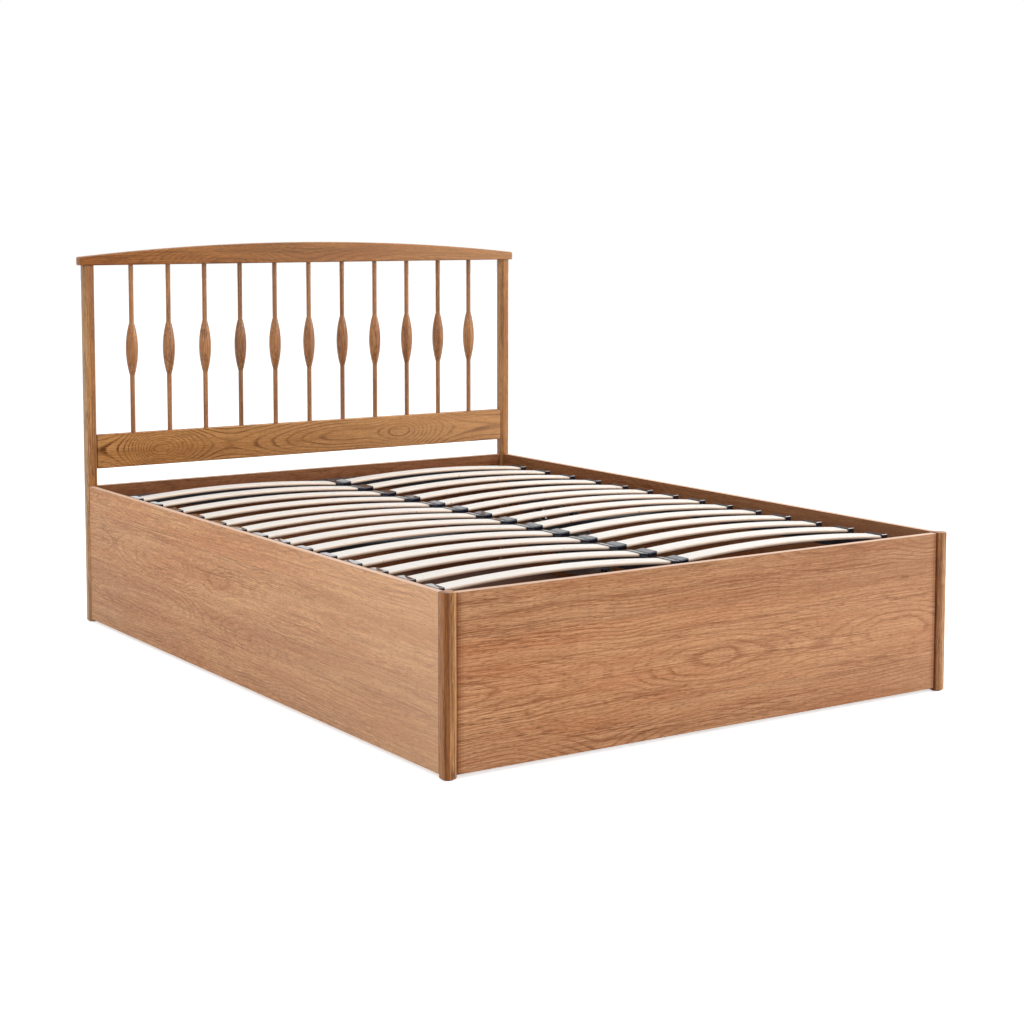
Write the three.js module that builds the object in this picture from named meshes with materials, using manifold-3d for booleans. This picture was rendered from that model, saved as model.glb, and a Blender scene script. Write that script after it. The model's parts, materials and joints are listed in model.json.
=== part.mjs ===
// An ottoman bed: a wooden box with a spindle headboard, and a slatted steel platform that lifts off the box.
// Millimetres, +Z up. X runs across the bed, the foot end faces -Y and the headboard stands at +Y.
import * as THREE from "three";
import { mergeVertices } from "three/addons/utils/BufferGeometryUtils.js";
import Module from "manifold-3d";

const wasm = await Module();
wasm.setup();

// Whole bed
const bed_length = 2000;
const bed_width = 1470;
const headboard_height = 1100;
const foot_height = 400;

// Posts: square with large round corners, and a chamfer round the floor end
const post_side = 34;
const post_corner_radius = 12;
const post_foot_chamfer = 3;

// Headboard rails
const top_rail_overhang = 10;
const top_rail_depth = 44;
const top_rail_end_height = 24;
const top_rail_arch_rise = 38;
const top_rail_corner_radius = 6;
const lower_rail_depth = 28;
const lower_rail_height = 98;
const lower_rail_underside = 448;

// Turned spindles
const spindle_count = 11;
const spindle_stem_radius = 7;
const spindle_bulge_radius = 18;
const spindle_bulge_length = 156;
const spindle_sides = 12;
const spindle_bulge_steps = 8;

// Panels of the box
const panel_thickness = 16;
const panel_floor_gap = 9;
const panel_top_drop = 2;
const side_panel_inset = 5;
const foot_panel_inset = 8;

// Floor of the storage space
const cleat_width = 25;
const cleat_height = 25;
const floor_bearer_width = 40;
const floor_board_thickness = 5;
const floor_board_joint = 1;
const floor_board_clearance = 1;

// Welded tubes of the platform
const tube_width = 25;
const tube_height = 40;
const tube_wall = 1.5;
const platform_drop = 32;
const platform_head_gap = 30;
const platform_foot_gap = 12;
const cross_tube_height = 20;
const cross_tube_place = 40;
const plug_places = [25, 125];
const plug_radius = 6;
const plug_height = 2;
const plug_sides = 12;
const rest_gap = 0.3;
const batten_width = 36;
const batten_height = 30;

// Sprung slats and their holders
const slat_width = 53;
const slat_thickness = 8;
const slat_rise = 15;
const slat_row_count = 14;
const slat_head_gaps = 4;
const slat_head_gap_share = 1.125;
const slat_foot_margin = 171;
const slat_head_margin = 209;
const slat_lift = 1.5;
const slat_curve_steps = 10;
const slat_end_clearance = 3;
const slat_centre_grip = 11;
const cap_wall = 2;
const cap_side_clearance = 0.5;
const cap_headroom = 0.45;
const cap_length = 31;
const cap_seat = 0.5;
const cap_end_wall = 10;
const centre_cap_length = 52;
const centre_cap_chamfer = 1.5;
const centre_cap_groove = 6;
const centre_cap_groove_depth = 3;

// Lift linkage: a long arm and a short arm on each side make a four-bar, and a gas strut pushes the short arm.
// A reach is measured from the headboard's lower rail towards the foot, and a height from the floor.
const long_arm_base_reach = 570;
const long_arm_base_height = 95;
const long_arm_top_reach = 212;
const long_arm_top_height = 220;
const short_arm_base_reach = 392;
const short_arm_base_height = 248;
const short_arm_top_reach = 168;
const short_arm_top_height = 290;
const strut_pivot_radius = 170;
const strut_opening_angle = Math.PI / 2;

// Lift plates, arms and pins
const base_plate_thickness = 4;
const base_plate_margin = 27;
const base_screw_radius = 4;
const arm_thickness = 5;
const long_arm_base_radius = 21;
const long_arm_top_radius = 16;
const short_arm_base_radius = 19;
const short_arm_top_radius = 17;
const bracket_thickness = 4;
const bracket_margin = 17;
const bracket_bolt_reaches = [84, 300];
const lane_gap = 2;
const pin_radius = 6;
const pin_clearance = 0.5;
const open_pivot_clearance = 1.5;
const open_pivot_shift = 0.7;
const pin_sides = 16;
const outline_steps = 8;

// Gas struts
const strut_radius = 10;
const strut_side_clearance = 1;
const strut_eye_radius = 11;
const strut_eye_thickness = 10;
const strut_neck_radius = 4.5;
const strut_tube_start = 16;
const strut_tube_length = 148;
const strut_bore_start = 44;
const strut_rod_radius = 4.5;
const strut_rod_clearance = 0.5;
const strut_rod_end_room = 8;
const strut_sides = 20;

// How far a cutting or joining body runs past the face that it passes
const overrun = 1;

// Places worked out from the sizes above
const half_width = bed_width / 2;
const half_length = bed_length / 2;
const post_centre_x = half_width - post_side / 2;
const post_inner_x = half_width - post_side;
const rail_centre_y = half_length - top_rail_depth / 2;
const foot_post_y = -half_length + post_side / 2;
const headboard_face_y = rail_centre_y - lower_rail_depth / 2;
const head_post_inner_y = rail_centre_y - post_side / 2;
const top_rail_underside = headboard_height - top_rail_arch_rise - top_rail_end_height;
const panel_top = foot_height - panel_top_drop;
const panel_outer_x = half_width - side_panel_inset;
const panel_inner_x = panel_outer_x - panel_thickness;
const foot_panel_outer_y = -half_length + foot_panel_inset;
const foot_panel_inner_y = foot_panel_outer_y + panel_thickness;
const head_panel_inner_y = rail_centre_y - panel_thickness / 2;

// Lanes between the side panel and the platform, counted inwards from the panel
const strut_half_lane = strut_radius + strut_side_clearance;
const strut_lane_x = panel_inner_x - base_plate_thickness - strut_half_lane;
const short_arm_outer_x = strut_lane_x - strut_half_lane - lane_gap;
const short_arm_inner_x = short_arm_outer_x - arm_thickness;
const long_arm_outer_x = short_arm_inner_x - lane_gap;
const long_arm_inner_x = long_arm_outer_x - arm_thickness;
const bracket_outer_x = long_arm_inner_x - lane_gap * 2;
const platform_outer_x = bracket_outer_x - bracket_thickness;

const tube_top = foot_height - platform_drop;
const tube_underside = tube_top - tube_height;
const tube_inner_x = platform_outer_x - tube_width;
const platform_head_y = headboard_face_y - platform_head_gap;
const platform_foot_y = foot_panel_inner_y + platform_foot_gap;

// A lift pivot as a point of the side view: x is the bed's Y, y is the height.
const sidePoint = (reach, height) => new THREE.Vector2(headboard_face_y - reach, height);
const long_arm_base = sidePoint(long_arm_base_reach, long_arm_base_height);
const long_arm_top = sidePoint(long_arm_top_reach, long_arm_top_height);
const short_arm_base = sidePoint(short_arm_base_reach, short_arm_base_height);
const short_arm_top = sidePoint(short_arm_top_reach, short_arm_top_height);

// The strut's two pivots lie at one radius from the short arm's base pivot, so that the strut always turns
// by half of what the arm turns.
const short_arm_angle = Math.atan2(
  short_arm_top.y - short_arm_base.y,
  short_arm_top.x - short_arm_base.x,
);
const aroundShortArm = (angle) =>
  new THREE.Vector2(strut_pivot_radius, 0)
    .rotateAround(new THREE.Vector2(), angle)
    .add(short_arm_base);
const strut_top = aroundShortArm(short_arm_angle);
const strut_base = aroundShortArm(short_arm_angle - strut_opening_angle);
const strut_closed_length = strut_top.distanceTo(strut_base);

// Materials
const finish = (color, roughness, metalness = 0) =>
  new THREE.MeshStandardMaterial({ color, roughness, metalness });
const oak = finish(0xb98555, 0.5);
const pale_oak = finish(0xc99a72, 0.5);
const birch = finish(0xe9dcc3, 0.45);
const hardboard = finish(0x6e4630, 0.7);
const softwood = finish(0xc9a06a, 0.7);
const black_steel = finish(0x1e2025, 0.45, 0.6);
const zinc_steel = finish(0x9aa0a6, 0.35, 0.9);
const bright_steel = finish(0xd7d9dc, 0.15, 1);

// Closed geometry to solid and back
function solidOf(geometry) {
  const bare = geometry.clone();
  for (const name of Object.keys(bare.attributes)) {
    if (name !== "position") bare.deleteAttribute(name);
  }
  const merged = mergeVertices(bare);
  return new wasm.Manifold(
    new wasm.Mesh({
      numProp: 3,
      vertProperties: merged.attributes.position.array,
      triVerts: new Uint32Array(merged.index.array),
    }),
  );
}

function geometryOf(solid) {
  const mesh = solid.getMesh();
  const geometry = new THREE.BufferGeometry();
  geometry.setAttribute("position", new THREE.BufferAttribute(mesh.vertProperties, 3));
  geometry.setIndex(new THREE.BufferAttribute(mesh.triVerts, 1));
  geometry.computeVertexNormals();
  return geometry;
}

// One geometry from a body, what is joined to it and what is cut out of it
function combine(body, joined = [], cut = []) {
  let solid = solidOf(body);
  for (const piece of joined) solid = solid.add(solidOf(piece));
  for (const piece of cut) solid = solid.subtract(solidOf(piece));
  return geometryOf(solid);
}

// Basic forms
const box = (x, y, z) =>
  new THREE.BoxGeometry(x[1] - x[0], y[1] - y[0], z[1] - z[0]).translate(
    (x[0] + x[1]) / 2,
    (y[0] + y[1]) / 2,
    (z[0] + z[1]) / 2,
  );

const spread = (centre, size) => [centre - size / 2, centre + size / 2];

// Extrudes a shape of the side view, whose axes are Y and Z, from one X to another.
function extrudeAcross(shape, span, steps = outline_steps) {
  const geometry = new THREE.ExtrudeGeometry(shape, {
    depth: span[1] - span[0],
    bevelEnabled: false,
    curveSegments: steps,
  });
  const turn = new THREE.Matrix4().makeBasis(
    new THREE.Vector3(0, 1, 0),
    new THREE.Vector3(0, 0, 1),
    new THREE.Vector3(1, 0, 0),
  );
  return geometry.applyMatrix4(turn).translate(span[0], 0, 0);
}

// Extrudes a shape of the front view, whose axes are X and Z, from one Y to another.
function extrudeAlong(shape, span, steps = outline_steps) {
  const geometry = new THREE.ExtrudeGeometry(shape, {
    depth: span[1] - span[0],
    bevelEnabled: false,
    curveSegments: steps,
  });
  return geometry.rotateX(Math.PI / 2).translate(0, span[1], 0);
}

// A rod along X round a point of the side view
const rodAcross = (point, radius, span, sides = pin_sides) =>
  new THREE.CylinderGeometry(radius, radius, span[1] - span[0], sides)
    .rotateZ(Math.PI / 2)
    .translate((span[0] + span[1]) / 2, point.x, point.y);

// The outline of a belt laid round circles, which are given anticlockwise
function beltRound(circles) {
  const shape = new THREE.Shape();
  const count = circles.length;
  const tangents = circles.map((circle, i) => {
    const next = circles[(i + 1) % count];
    const way = next.centre.clone().sub(circle.centre);
    const lean = Math.asin((circle.radius - next.radius) / way.length());
    return way.angle() - Math.PI / 2 + lean;
  });
  circles.forEach((circle, i) => {
    const start = tangents[(i + count - 1) % count];
    const end = tangents[i];
    shape.absarc(circle.centre.x, circle.centre.y, circle.radius, start, end, false);
  });
  return shape;
}

const disc = (centre, radius) => ({ centre, radius });

function holeAt(point, radius) {
  const hole = new THREE.Path();
  hole.absarc(point.x, point.y, radius, 0, Math.PI * 2, false);
  return hole;
}

// The span of X between two distances from the middle, on the left or the right
const onSide = (sign, near, far) => (sign > 0 ? [near, far] : [-far, -near]);

const bed = new THREE.Group();

function add(name, geometry, material) {
  const mesh = new THREE.Mesh(geometry, material);
  mesh.name = name;
  bed.add(mesh);
  return mesh;
}

const sides = [
  { name: "left", sign: -1 },
  { name: "right", sign: 1 },
];

// Posts
function postGeometry(height) {
  const flat = post_side / 2 - post_corner_radius;
  const corners = [
    [flat, flat],
    [-flat, flat],
    [-flat, -flat],
    [flat, -flat],
  ];
  const ring = (radius, z) => {
    const outline = beltRound(corners.map(([x, y]) => disc(new THREE.Vector2(x, y), radius)));
    const points = outline.getPoints(outline_steps / 2);
    return points.map((point) => new THREE.Vector3(point.x, point.y, z));
  };
  return loft([
    ring(post_corner_radius - post_foot_chamfer, 0),
    ring(post_corner_radius, post_foot_chamfer),
    ring(post_corner_radius, height),
  ]);
}

// A closed body through rings of equal count, with flat ends
function loft(rings) {
  const count = rings[0].length;
  const index = [];
  for (let r = 0; r + 1 < rings.length; r += 1) {
    for (let i = 0; i < count; i += 1) {
      const a = r * count + i;
      const b = r * count + ((i + 1) % count);
      index.push(a, b, b + count, a, b + count, a + count);
    }
  }
  const last = (rings.length - 1) * count;
  for (let i = 1; i + 1 < count; i += 1) {
    index.push(0, i + 1, i, last, last + i, last + i + 1);
  }
  const geometry = new THREE.BufferGeometry().setFromPoints(rings.flat());
  geometry.setIndex(index);
  return geometry;
}

for (const side of sides) {
  const head_post = add("headboard_post_" + side.name, postGeometry(top_rail_underside), oak);
  head_post.position.set(side.sign * post_centre_x, rail_centre_y, 0);
  const foot_post = add("foot_post_" + side.name, postGeometry(foot_height), oak);
  foot_post.position.set(side.sign * post_centre_x, foot_post_y, 0);
}

// Headboard rails: the top rail is flat below and arched above, with small round corners at its ends
function topRailShape() {
  const half = half_width + top_rail_overhang;
  const radius = (half * half + top_rail_arch_rise * top_rail_arch_rise) / (2 * top_rail_arch_rise);
  const centre_z = headboard_height - radius;
  const arc_half = half - top_rail_corner_radius;
  const angle = Math.asin(arc_half / radius);
  const corner_z = top_rail_underside + top_rail_end_height;
  const shape = new THREE.Shape();
  shape.moveTo(-half, top_rail_underside);
  shape.lineTo(half, top_rail_underside);
  shape.lineTo(half, corner_z - top_rail_corner_radius);
  shape.quadraticCurveTo(half, corner_z, arc_half, centre_z + radius * Math.cos(angle));
  shape.absarc(0, centre_z, radius, Math.PI / 2 - angle, Math.PI / 2 + angle, false);
  shape.quadraticCurveTo(-half, corner_z, -half, corner_z - top_rail_corner_radius);
  shape.closePath();
  return shape;
}
const top_rail_span = spread(rail_centre_y, top_rail_depth);
add("headboard_top_rail", extrudeAlong(topRailShape(), top_rail_span, outline_steps * 2), oak);
add(
  "headboard_lower_rail",
  box(
    [-post_inner_x, post_inner_x],
    spread(rail_centre_y, lower_rail_depth),
    [lower_rail_underside, lower_rail_underside + lower_rail_height],
  ),
  oak,
);

// Spindles: a plain stem that swells to a bulge half-way up
function spindleGeometry(height) {
  const half_bulge = spindle_bulge_length / 2;
  const swell = spindle_bulge_radius - spindle_stem_radius;
  const profile = [new THREE.Vector2(0, 0), new THREE.Vector2(spindle_stem_radius, 0)];
  for (let i = 0; i <= spindle_bulge_steps; i += 1) {
    const share = (2 * i) / spindle_bulge_steps - 1;
    const radius = spindle_stem_radius + swell * (1 - share * share);
    profile.push(new THREE.Vector2(radius, height / 2 + share * half_bulge));
  }
  profile.push(new THREE.Vector2(spindle_stem_radius, height), new THREE.Vector2(0, height));
  return new THREE.LatheGeometry(profile, spindle_sides).rotateX(Math.PI / 2);
}
const spindle_base = lower_rail_underside + lower_rail_height;
const spindle_pitch = (2 * post_inner_x) / (spindle_count + 1);
for (let i = 1; i <= spindle_count; i += 1) {
  const spindle = add("spindle_" + i, spindleGeometry(top_rail_underside - spindle_base), oak);
  spindle.position.set(-post_inner_x + i * spindle_pitch, rail_centre_y, spindle_base);
}

// Panels between the posts
const panel_span_z = [panel_floor_gap, panel_top];
const foot_post_inner_y = -half_length + post_side;
for (const side of sides) {
  add(
    "side_panel_" + side.name,
    box(
      onSide(side.sign, panel_inner_x, panel_outer_x),
      [foot_post_inner_y, head_post_inner_y],
      panel_span_z,
    ),
    pale_oak,
  );
}
add(
  "foot_panel",
  box([-post_inner_x, post_inner_x], [foot_panel_outer_y, foot_panel_inner_y], panel_span_z),
  oak,
);
add(
  "head_panel",
  box([-post_inner_x, post_inner_x], spread(rail_centre_y, panel_thickness), panel_span_z),
  oak,
);

// Floor of the storage space: cleats along the sides, a bearer down the middle and two boards
const cleat_top = panel_floor_gap + cleat_height;
for (const side of sides) {
  add(
    "floor_cleat_" + side.name,
    box(
      onSide(side.sign, panel_inner_x - cleat_width, panel_inner_x),
      [foot_post_inner_y, head_post_inner_y],
      [panel_floor_gap, cleat_top],
    ),
    softwood,
  );
}
add(
  "floor_bearer",
  box(
    spread(0, floor_bearer_width),
    [foot_panel_inner_y, head_panel_inner_y],
    [panel_floor_gap, cleat_top],
  ),
  softwood,
);
const floor_half = panel_inner_x - floor_board_clearance;
const floor_board_z = [cleat_top, cleat_top + floor_board_thickness];
add(
  "floor_board_head",
  box(
    [-floor_half, floor_half],
    [floor_board_joint / 2, head_post_inner_y - floor_board_clearance],
    floor_board_z,
  ),
  hardboard,
);
add(
  "floor_board_foot",
  box(
    [-floor_half, floor_half],
    [foot_post_inner_y + floor_board_clearance, -floor_board_joint / 2],
    floor_board_z,
  ),
  hardboard,
);

// The platform's foot tube comes down on this batten
const batten_top = tube_underside - rest_gap;
add(
  "foot_rest_batten",
  box(
    [-post_inner_x, post_inner_x],
    [foot_panel_inner_y, foot_panel_inner_y + batten_width],
    [batten_top - batten_height, batten_top],
  ),
  softwood,
);

// Platform tubes, each open at its ends
function tubeShape(width, height) {
  const rectangle = (shape, w, h) => {
    shape.moveTo(-w / 2, -h / 2);
    shape.lineTo(w / 2, -h / 2);
    shape.lineTo(w / 2, h / 2);
    shape.lineTo(-w / 2, h / 2);
    shape.closePath();
    return shape;
  };
  const shape = rectangle(new THREE.Shape(), width, height);
  shape.holes.push(rectangle(new THREE.Path(), width - 2 * tube_wall, height - 2 * tube_wall));
  return shape;
}
const tube_centre_z = tube_underside + tube_height / 2;
const crossTube = (y, height, z, half) =>
  extrudeAcross(tubeShape(tube_width, height), [-half, half]).translate(0, y, z);
const lengthTube = (x, from, to) =>
  extrudeAlong(tubeShape(tube_width, tube_height), [from, to]).translate(x, 0, tube_centre_z);

// Rows of slats, counted from the foot end, and wider apart under the pillows
const even_gaps = slat_row_count - 1 - slat_head_gaps;
const slat_run = bed_length - slat_foot_margin - slat_head_margin;
const slat_pitch = slat_run / (even_gaps + slat_head_gaps * slat_head_gap_share);
function slatRowY(row) {
  const wide_gaps = Math.max(0, row - even_gaps);
  const gaps = row - wide_gaps + wide_gaps * slat_head_gap_share;
  return -half_length + slat_foot_margin + gaps * slat_pitch;
}
const rows = Array.from({ length: slat_row_count }, (_, row) => slatRowY(row));

// Side tubes with a moulded holder for each slat, whose pocket opens towards the middle
const cap_inner_x = platform_outer_x - cap_length;
const cap_pocket_x = platform_outer_x - cap_end_wall;
const slat_outer_x = cap_pocket_x - slat_end_clearance;
const held_share = (slat_outer_x - cap_inner_x) / (slat_outer_x - slat_centre_grip);
const held_rise = 4 * slat_rise * held_share * (1 - held_share);
const pocket_top = tube_top + slat_lift + slat_thickness + held_rise + cap_headroom;
const pocket_width = slat_width + 2 * cap_side_clearance;
const cap_width = pocket_width + 2 * cap_wall;
const cap_top = pocket_top + cap_wall;
for (const side of sides) {
  const caps = rows.map((y) =>
    box(
      onSide(side.sign, cap_inner_x, platform_outer_x),
      spread(y, cap_width),
      [tube_top - cap_seat, cap_top],
    ),
  );
  const pockets = rows.map((y) =>
    box(
      onSide(side.sign, cap_inner_x - overrun, cap_pocket_x),
      spread(y, pocket_width),
      [tube_top + slat_lift / 2, pocket_top],
    ),
  );
  const tube_x = side.sign * (tube_inner_x + tube_width / 2);
  add(
    "platform_side_tube_" + side.name,
    combine(lengthTube(tube_x, platform_foot_y, platform_head_y), caps, pockets),
    black_steel,
  );
}

// The head tube has plastic plugs in its top, placed alike on both sides of the middle
const head_tube_y = platform_head_y - tube_width / 2;
function plugGeometry(x) {
  const height = tube_wall + plug_height;
  const plug = new THREE.CylinderGeometry(plug_radius, plug_radius, height, plug_sides);
  return plug.rotateX(Math.PI / 2).translate(x, head_tube_y, tube_top + plug_height - height / 2);
}
const plugs = plug_places.flatMap((place) => [plugGeometry(-place), plugGeometry(place)]);
add(
  "platform_head_tube",
  combine(crossTube(head_tube_y, tube_height, tube_centre_z, tube_inner_x), plugs),
  black_steel,
);
add(
  "platform_foot_tube",
  crossTube(platform_foot_y + tube_width / 2, tube_height, tube_centre_z, tube_inner_x),
  black_steel,
);
add(
  "platform_centre_tube",
  lengthTube(0, platform_foot_y + tube_width, platform_head_y - tube_width),
  black_steel,
);
add(
  "platform_cross_tube",
  crossTube(
    cross_tube_place,
    cross_tube_height,
    tube_underside - cross_tube_height / 2,
    platform_outer_x,
  ),
  black_steel,
);

// A slat row: two arched slats held by the double holder on the centre tube
function slatShape() {
  const near = slat_centre_grip;
  const far = slat_outer_x;
  const middle = (near + far) / 2;
  const bottom = tube_top + slat_lift;
  const top = bottom + slat_thickness;
  const shape = new THREE.Shape();
  shape.moveTo(near, bottom);
  shape.quadraticCurveTo(middle, bottom + 2 * slat_rise, far, bottom);
  shape.lineTo(far, top);
  shape.quadraticCurveTo(middle, top + 2 * slat_rise, near, top);
  shape.closePath();
  return shape;
}
function centreCapShape() {
  const half = centre_cap_length / 2;
  const groove = centre_cap_groove / 2;
  const shape = new THREE.Shape();
  shape.moveTo(-half, tube_top);
  shape.lineTo(half, tube_top);
  shape.lineTo(half, cap_top - centre_cap_chamfer);
  shape.lineTo(half - centre_cap_chamfer, cap_top);
  shape.lineTo(groove, cap_top);
  shape.lineTo(groove, cap_top - centre_cap_groove_depth);
  shape.lineTo(-groove, cap_top - centre_cap_groove_depth);
  shape.lineTo(-groove, cap_top);
  shape.lineTo(centre_cap_chamfer - half, cap_top);
  shape.lineTo(-half, cap_top - centre_cap_chamfer);
  shape.closePath();
  return shape;
}
rows.forEach((y, row) => {
  const slat_span = spread(y, slat_width);
  const right = extrudeAlong(slatShape(), slat_span, slat_curve_steps);
  const left = right.clone().rotateZ(Math.PI).translate(0, 2 * y, 0);
  const cap = extrudeAlong(centreCapShape(), spread(y, cap_width));
  add("slat_row_" + (row + 1), combine(cap, [left, right]), birch);
});

// Lift base plates, screwed to the side panels, with the three pins that the arms and the strut turn on
const pinEnd = (lane_inner_x) => lane_inner_x - lane_gap / 2;
for (const side of sides) {
  const corners = [long_arm_base, strut_base, short_arm_base];
  const plate_shape = beltRound(corners.map((corner) => disc(corner, base_plate_margin)));
  const screws = [
    long_arm_base.clone().lerp(short_arm_base, 1 / 2),
    long_arm_base.clone().lerp(strut_base, 1 / 2),
    short_arm_base.clone().lerp(strut_base, 1 / 2),
  ];
  for (const screw of screws) plate_shape.holes.push(holeAt(screw, base_screw_radius));
  const plate_inner_x = panel_inner_x - base_plate_thickness;
  const plate = extrudeAcross(plate_shape, onSide(side.sign, plate_inner_x, panel_inner_x));
  const pin = (point, end_x) =>
    rodAcross(point, pin_radius, onSide(side.sign, end_x, plate_inner_x + overrun));
  const pins = [
    pin(long_arm_base, pinEnd(long_arm_inner_x)),
    pin(short_arm_base, pinEnd(short_arm_inner_x)),
    pin(strut_base, strut_lane_x - strut_eye_thickness / 2 - lane_gap / 2),
  ];
  add("lift_base_plate_" + side.name, combine(plate, pins), zinc_steel);
}

// Long arm: base pin to the platform's lower pin
const arm_hole_radius = pin_radius + pin_clearance;
for (const side of sides) {
  const shape = beltRound([
    disc(long_arm_base, long_arm_base_radius),
    disc(long_arm_top, long_arm_top_radius),
  ]);
  shape.holes.push(holeAt(long_arm_base, arm_hole_radius), holeAt(long_arm_top, arm_hole_radius));
  const span = onSide(side.sign, long_arm_inner_x, long_arm_outer_x);
  add("lift_long_arm_" + side.name, extrudeAcross(shape, span), zinc_steel);
}

// Short arm: base pin to the platform's upper pin, and the strut's pin on its outer face. The hole for the
// upper pin has play and sits a little towards the foot end, because the four-bar is opened here.
const open_pivot = short_arm_top.clone().sub(new THREE.Vector2(open_pivot_shift, 0));
for (const side of sides) {
  const shape = beltRound([
    disc(short_arm_base, short_arm_base_radius),
    disc(short_arm_top, short_arm_top_radius),
  ]);
  shape.holes.push(
    holeAt(short_arm_base, arm_hole_radius),
    holeAt(open_pivot, pin_radius + open_pivot_clearance),
  );
  const plate = extrudeAcross(shape, onSide(side.sign, short_arm_inner_x, short_arm_outer_x));
  const strut_pin = rodAcross(
    strut_top,
    pin_radius,
    onSide(
      side.sign,
      short_arm_outer_x - overrun,
      strut_lane_x + strut_eye_thickness / 2 + lane_gap / 2,
    ),
  );
  add("lift_short_arm_" + side.name, combine(plate, [strut_pin]), zinc_steel);
}

// Brackets bolted to the outer faces of the side tubes, with the platform's two pins on each
const bracket_bolts = bracket_bolt_reaches.map((reach) => sidePoint(reach, tube_centre_z));
for (const side of sides) {
  const corners = [bracket_bolts[1], long_arm_top, bracket_bolts[0]];
  const shape = beltRound(corners.map((corner) => disc(corner, bracket_margin)));
  for (const bolt of bracket_bolts) shape.holes.push(holeAt(bolt, base_screw_radius));
  const plate = extrudeAcross(shape, onSide(side.sign, platform_outer_x, bracket_outer_x));
  const pin = (point, end_x) =>
    rodAcross(point, pin_radius, onSide(side.sign, bracket_outer_x - overrun, end_x));
  const pins = [
    pin(long_arm_top, long_arm_outer_x + lane_gap / 2),
    pin(short_arm_top, short_arm_outer_x + lane_gap / 2),
  ];
  add("platform_bracket_" + side.name, combine(plate, pins), zinc_steel);
}

// Gas struts: each half is made along +Y from the base eye, then turned about the base eye to meet the short arm
const strut_turn = strut_top.clone().sub(strut_base).angle();
const strutPoint = (place) => new THREE.Vector2(place, 0);
const strutRod = (radius, from, to) =>
  new THREE.CylinderGeometry(radius, radius, to - from, strut_sides).translate(0, (from + to) / 2, 0);
function strutHalf(name, sign, eye_place, joined, cut) {
  const eye = rodAcross(strutPoint(eye_place), strut_eye_radius, spread(0, strut_eye_thickness));
  const eye_hole = rodAcross(
    strutPoint(eye_place),
    arm_hole_radius,
    spread(0, strut_eye_thickness + 2 * overrun),
  );
  const half = add(name, combine(eye, joined, [eye_hole, ...cut]), bright_steel);
  half.position.set(sign * strut_lane_x, strut_base.x, strut_base.y);
  half.rotation.x = strut_turn;
  return half;
}
for (const side of sides) {
  const tube_end = strut_tube_start + strut_tube_length;
  const cylinder = strutHalf(
    "strut_cylinder_" + side.name,
    side.sign,
    0,
    [
      strutRod(strut_neck_radius, strut_eye_radius - overrun, strut_tube_start + overrun),
      strutRod(strut_radius, strut_tube_start, tube_end),
    ],
    [strutRod(strut_rod_radius + strut_rod_clearance, strut_bore_start, tube_end + overrun)],
  );
  cylinder.material = black_steel;
  const rod_tip = strut_bore_start + strut_rod_end_room;
  strutHalf(
    "strut_rod_" + side.name,
    side.sign,
    strut_closed_length,
    [strutRod(strut_rod_radius, rod_tip, strut_closed_length - strut_eye_radius + overrun)],
    [],
  );
}

export default bed;
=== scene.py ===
import json
import math

import bmesh
import bpy
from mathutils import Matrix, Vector

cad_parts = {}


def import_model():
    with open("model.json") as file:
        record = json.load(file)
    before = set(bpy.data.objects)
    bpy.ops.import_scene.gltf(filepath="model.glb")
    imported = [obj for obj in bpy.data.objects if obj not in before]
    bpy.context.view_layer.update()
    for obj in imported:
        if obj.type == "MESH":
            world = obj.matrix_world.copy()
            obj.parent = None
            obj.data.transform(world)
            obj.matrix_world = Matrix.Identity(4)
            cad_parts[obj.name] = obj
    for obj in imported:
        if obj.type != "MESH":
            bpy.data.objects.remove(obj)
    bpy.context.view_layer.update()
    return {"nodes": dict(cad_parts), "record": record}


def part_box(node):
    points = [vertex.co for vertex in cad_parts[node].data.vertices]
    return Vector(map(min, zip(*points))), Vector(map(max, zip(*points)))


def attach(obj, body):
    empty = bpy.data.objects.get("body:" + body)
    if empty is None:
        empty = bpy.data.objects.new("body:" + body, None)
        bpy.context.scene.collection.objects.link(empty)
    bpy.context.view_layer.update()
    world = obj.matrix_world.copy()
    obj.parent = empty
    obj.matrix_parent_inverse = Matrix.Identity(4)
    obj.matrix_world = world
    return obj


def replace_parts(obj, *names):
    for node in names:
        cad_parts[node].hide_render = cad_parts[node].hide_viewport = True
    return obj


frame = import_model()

# The scene is in metres
MM = 0.001

# Camera, found from the photograph: place, direction and lens, with the picture's width in pixels
PICTURE_WIDTH = 1024
CAMERA_PLACE = Vector((-2868.5, -4440.2, 1179.5)) * MM
CAMERA_YAW = math.radians(33.31)
CAMERA_PITCH = math.radians(-4.99)
FOCAL_PIXELS = 1978.5
CENTRE_PIXEL = (496.1, 388.8)
SENSOR_WIDTH = 36

# Colours as seen on the object, red, green and blue out of 255. An oak's tones are its light wood, its dark
# lines and its red blush. A fade is painted light: it runs between two places along the grain, up to a share
# of a paler colour, where the lamps light the part more. A zone holds painted light and shade: it lies
# between two distances from the middle plane, and multiplies the colour.
RAIL_TONES = ((172, 112, 58), (82, 44, 16), (138, 72, 30))
RAIL_LIGHT_FADE = (-0.6, 0.8, 0.46, (180, 140, 104))
# Painted highlight: the top rail's ends, round their rounded corners, are drawn paler
RAIL_END_HIGHLIGHT = ((0.738, 0.76, (1.3, 1.35, 1.35)),)
LOWER_RAIL_TONES = ((202, 146, 88), (96, 50, 16), (164, 102, 50))
LOWER_RAIL_LIGHT_FADE = (-0.5, 0.8, 0.3, (200, 158, 120))
POST_TONES = ((206, 150, 94), (108, 62, 28), (166, 104, 56))
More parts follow.
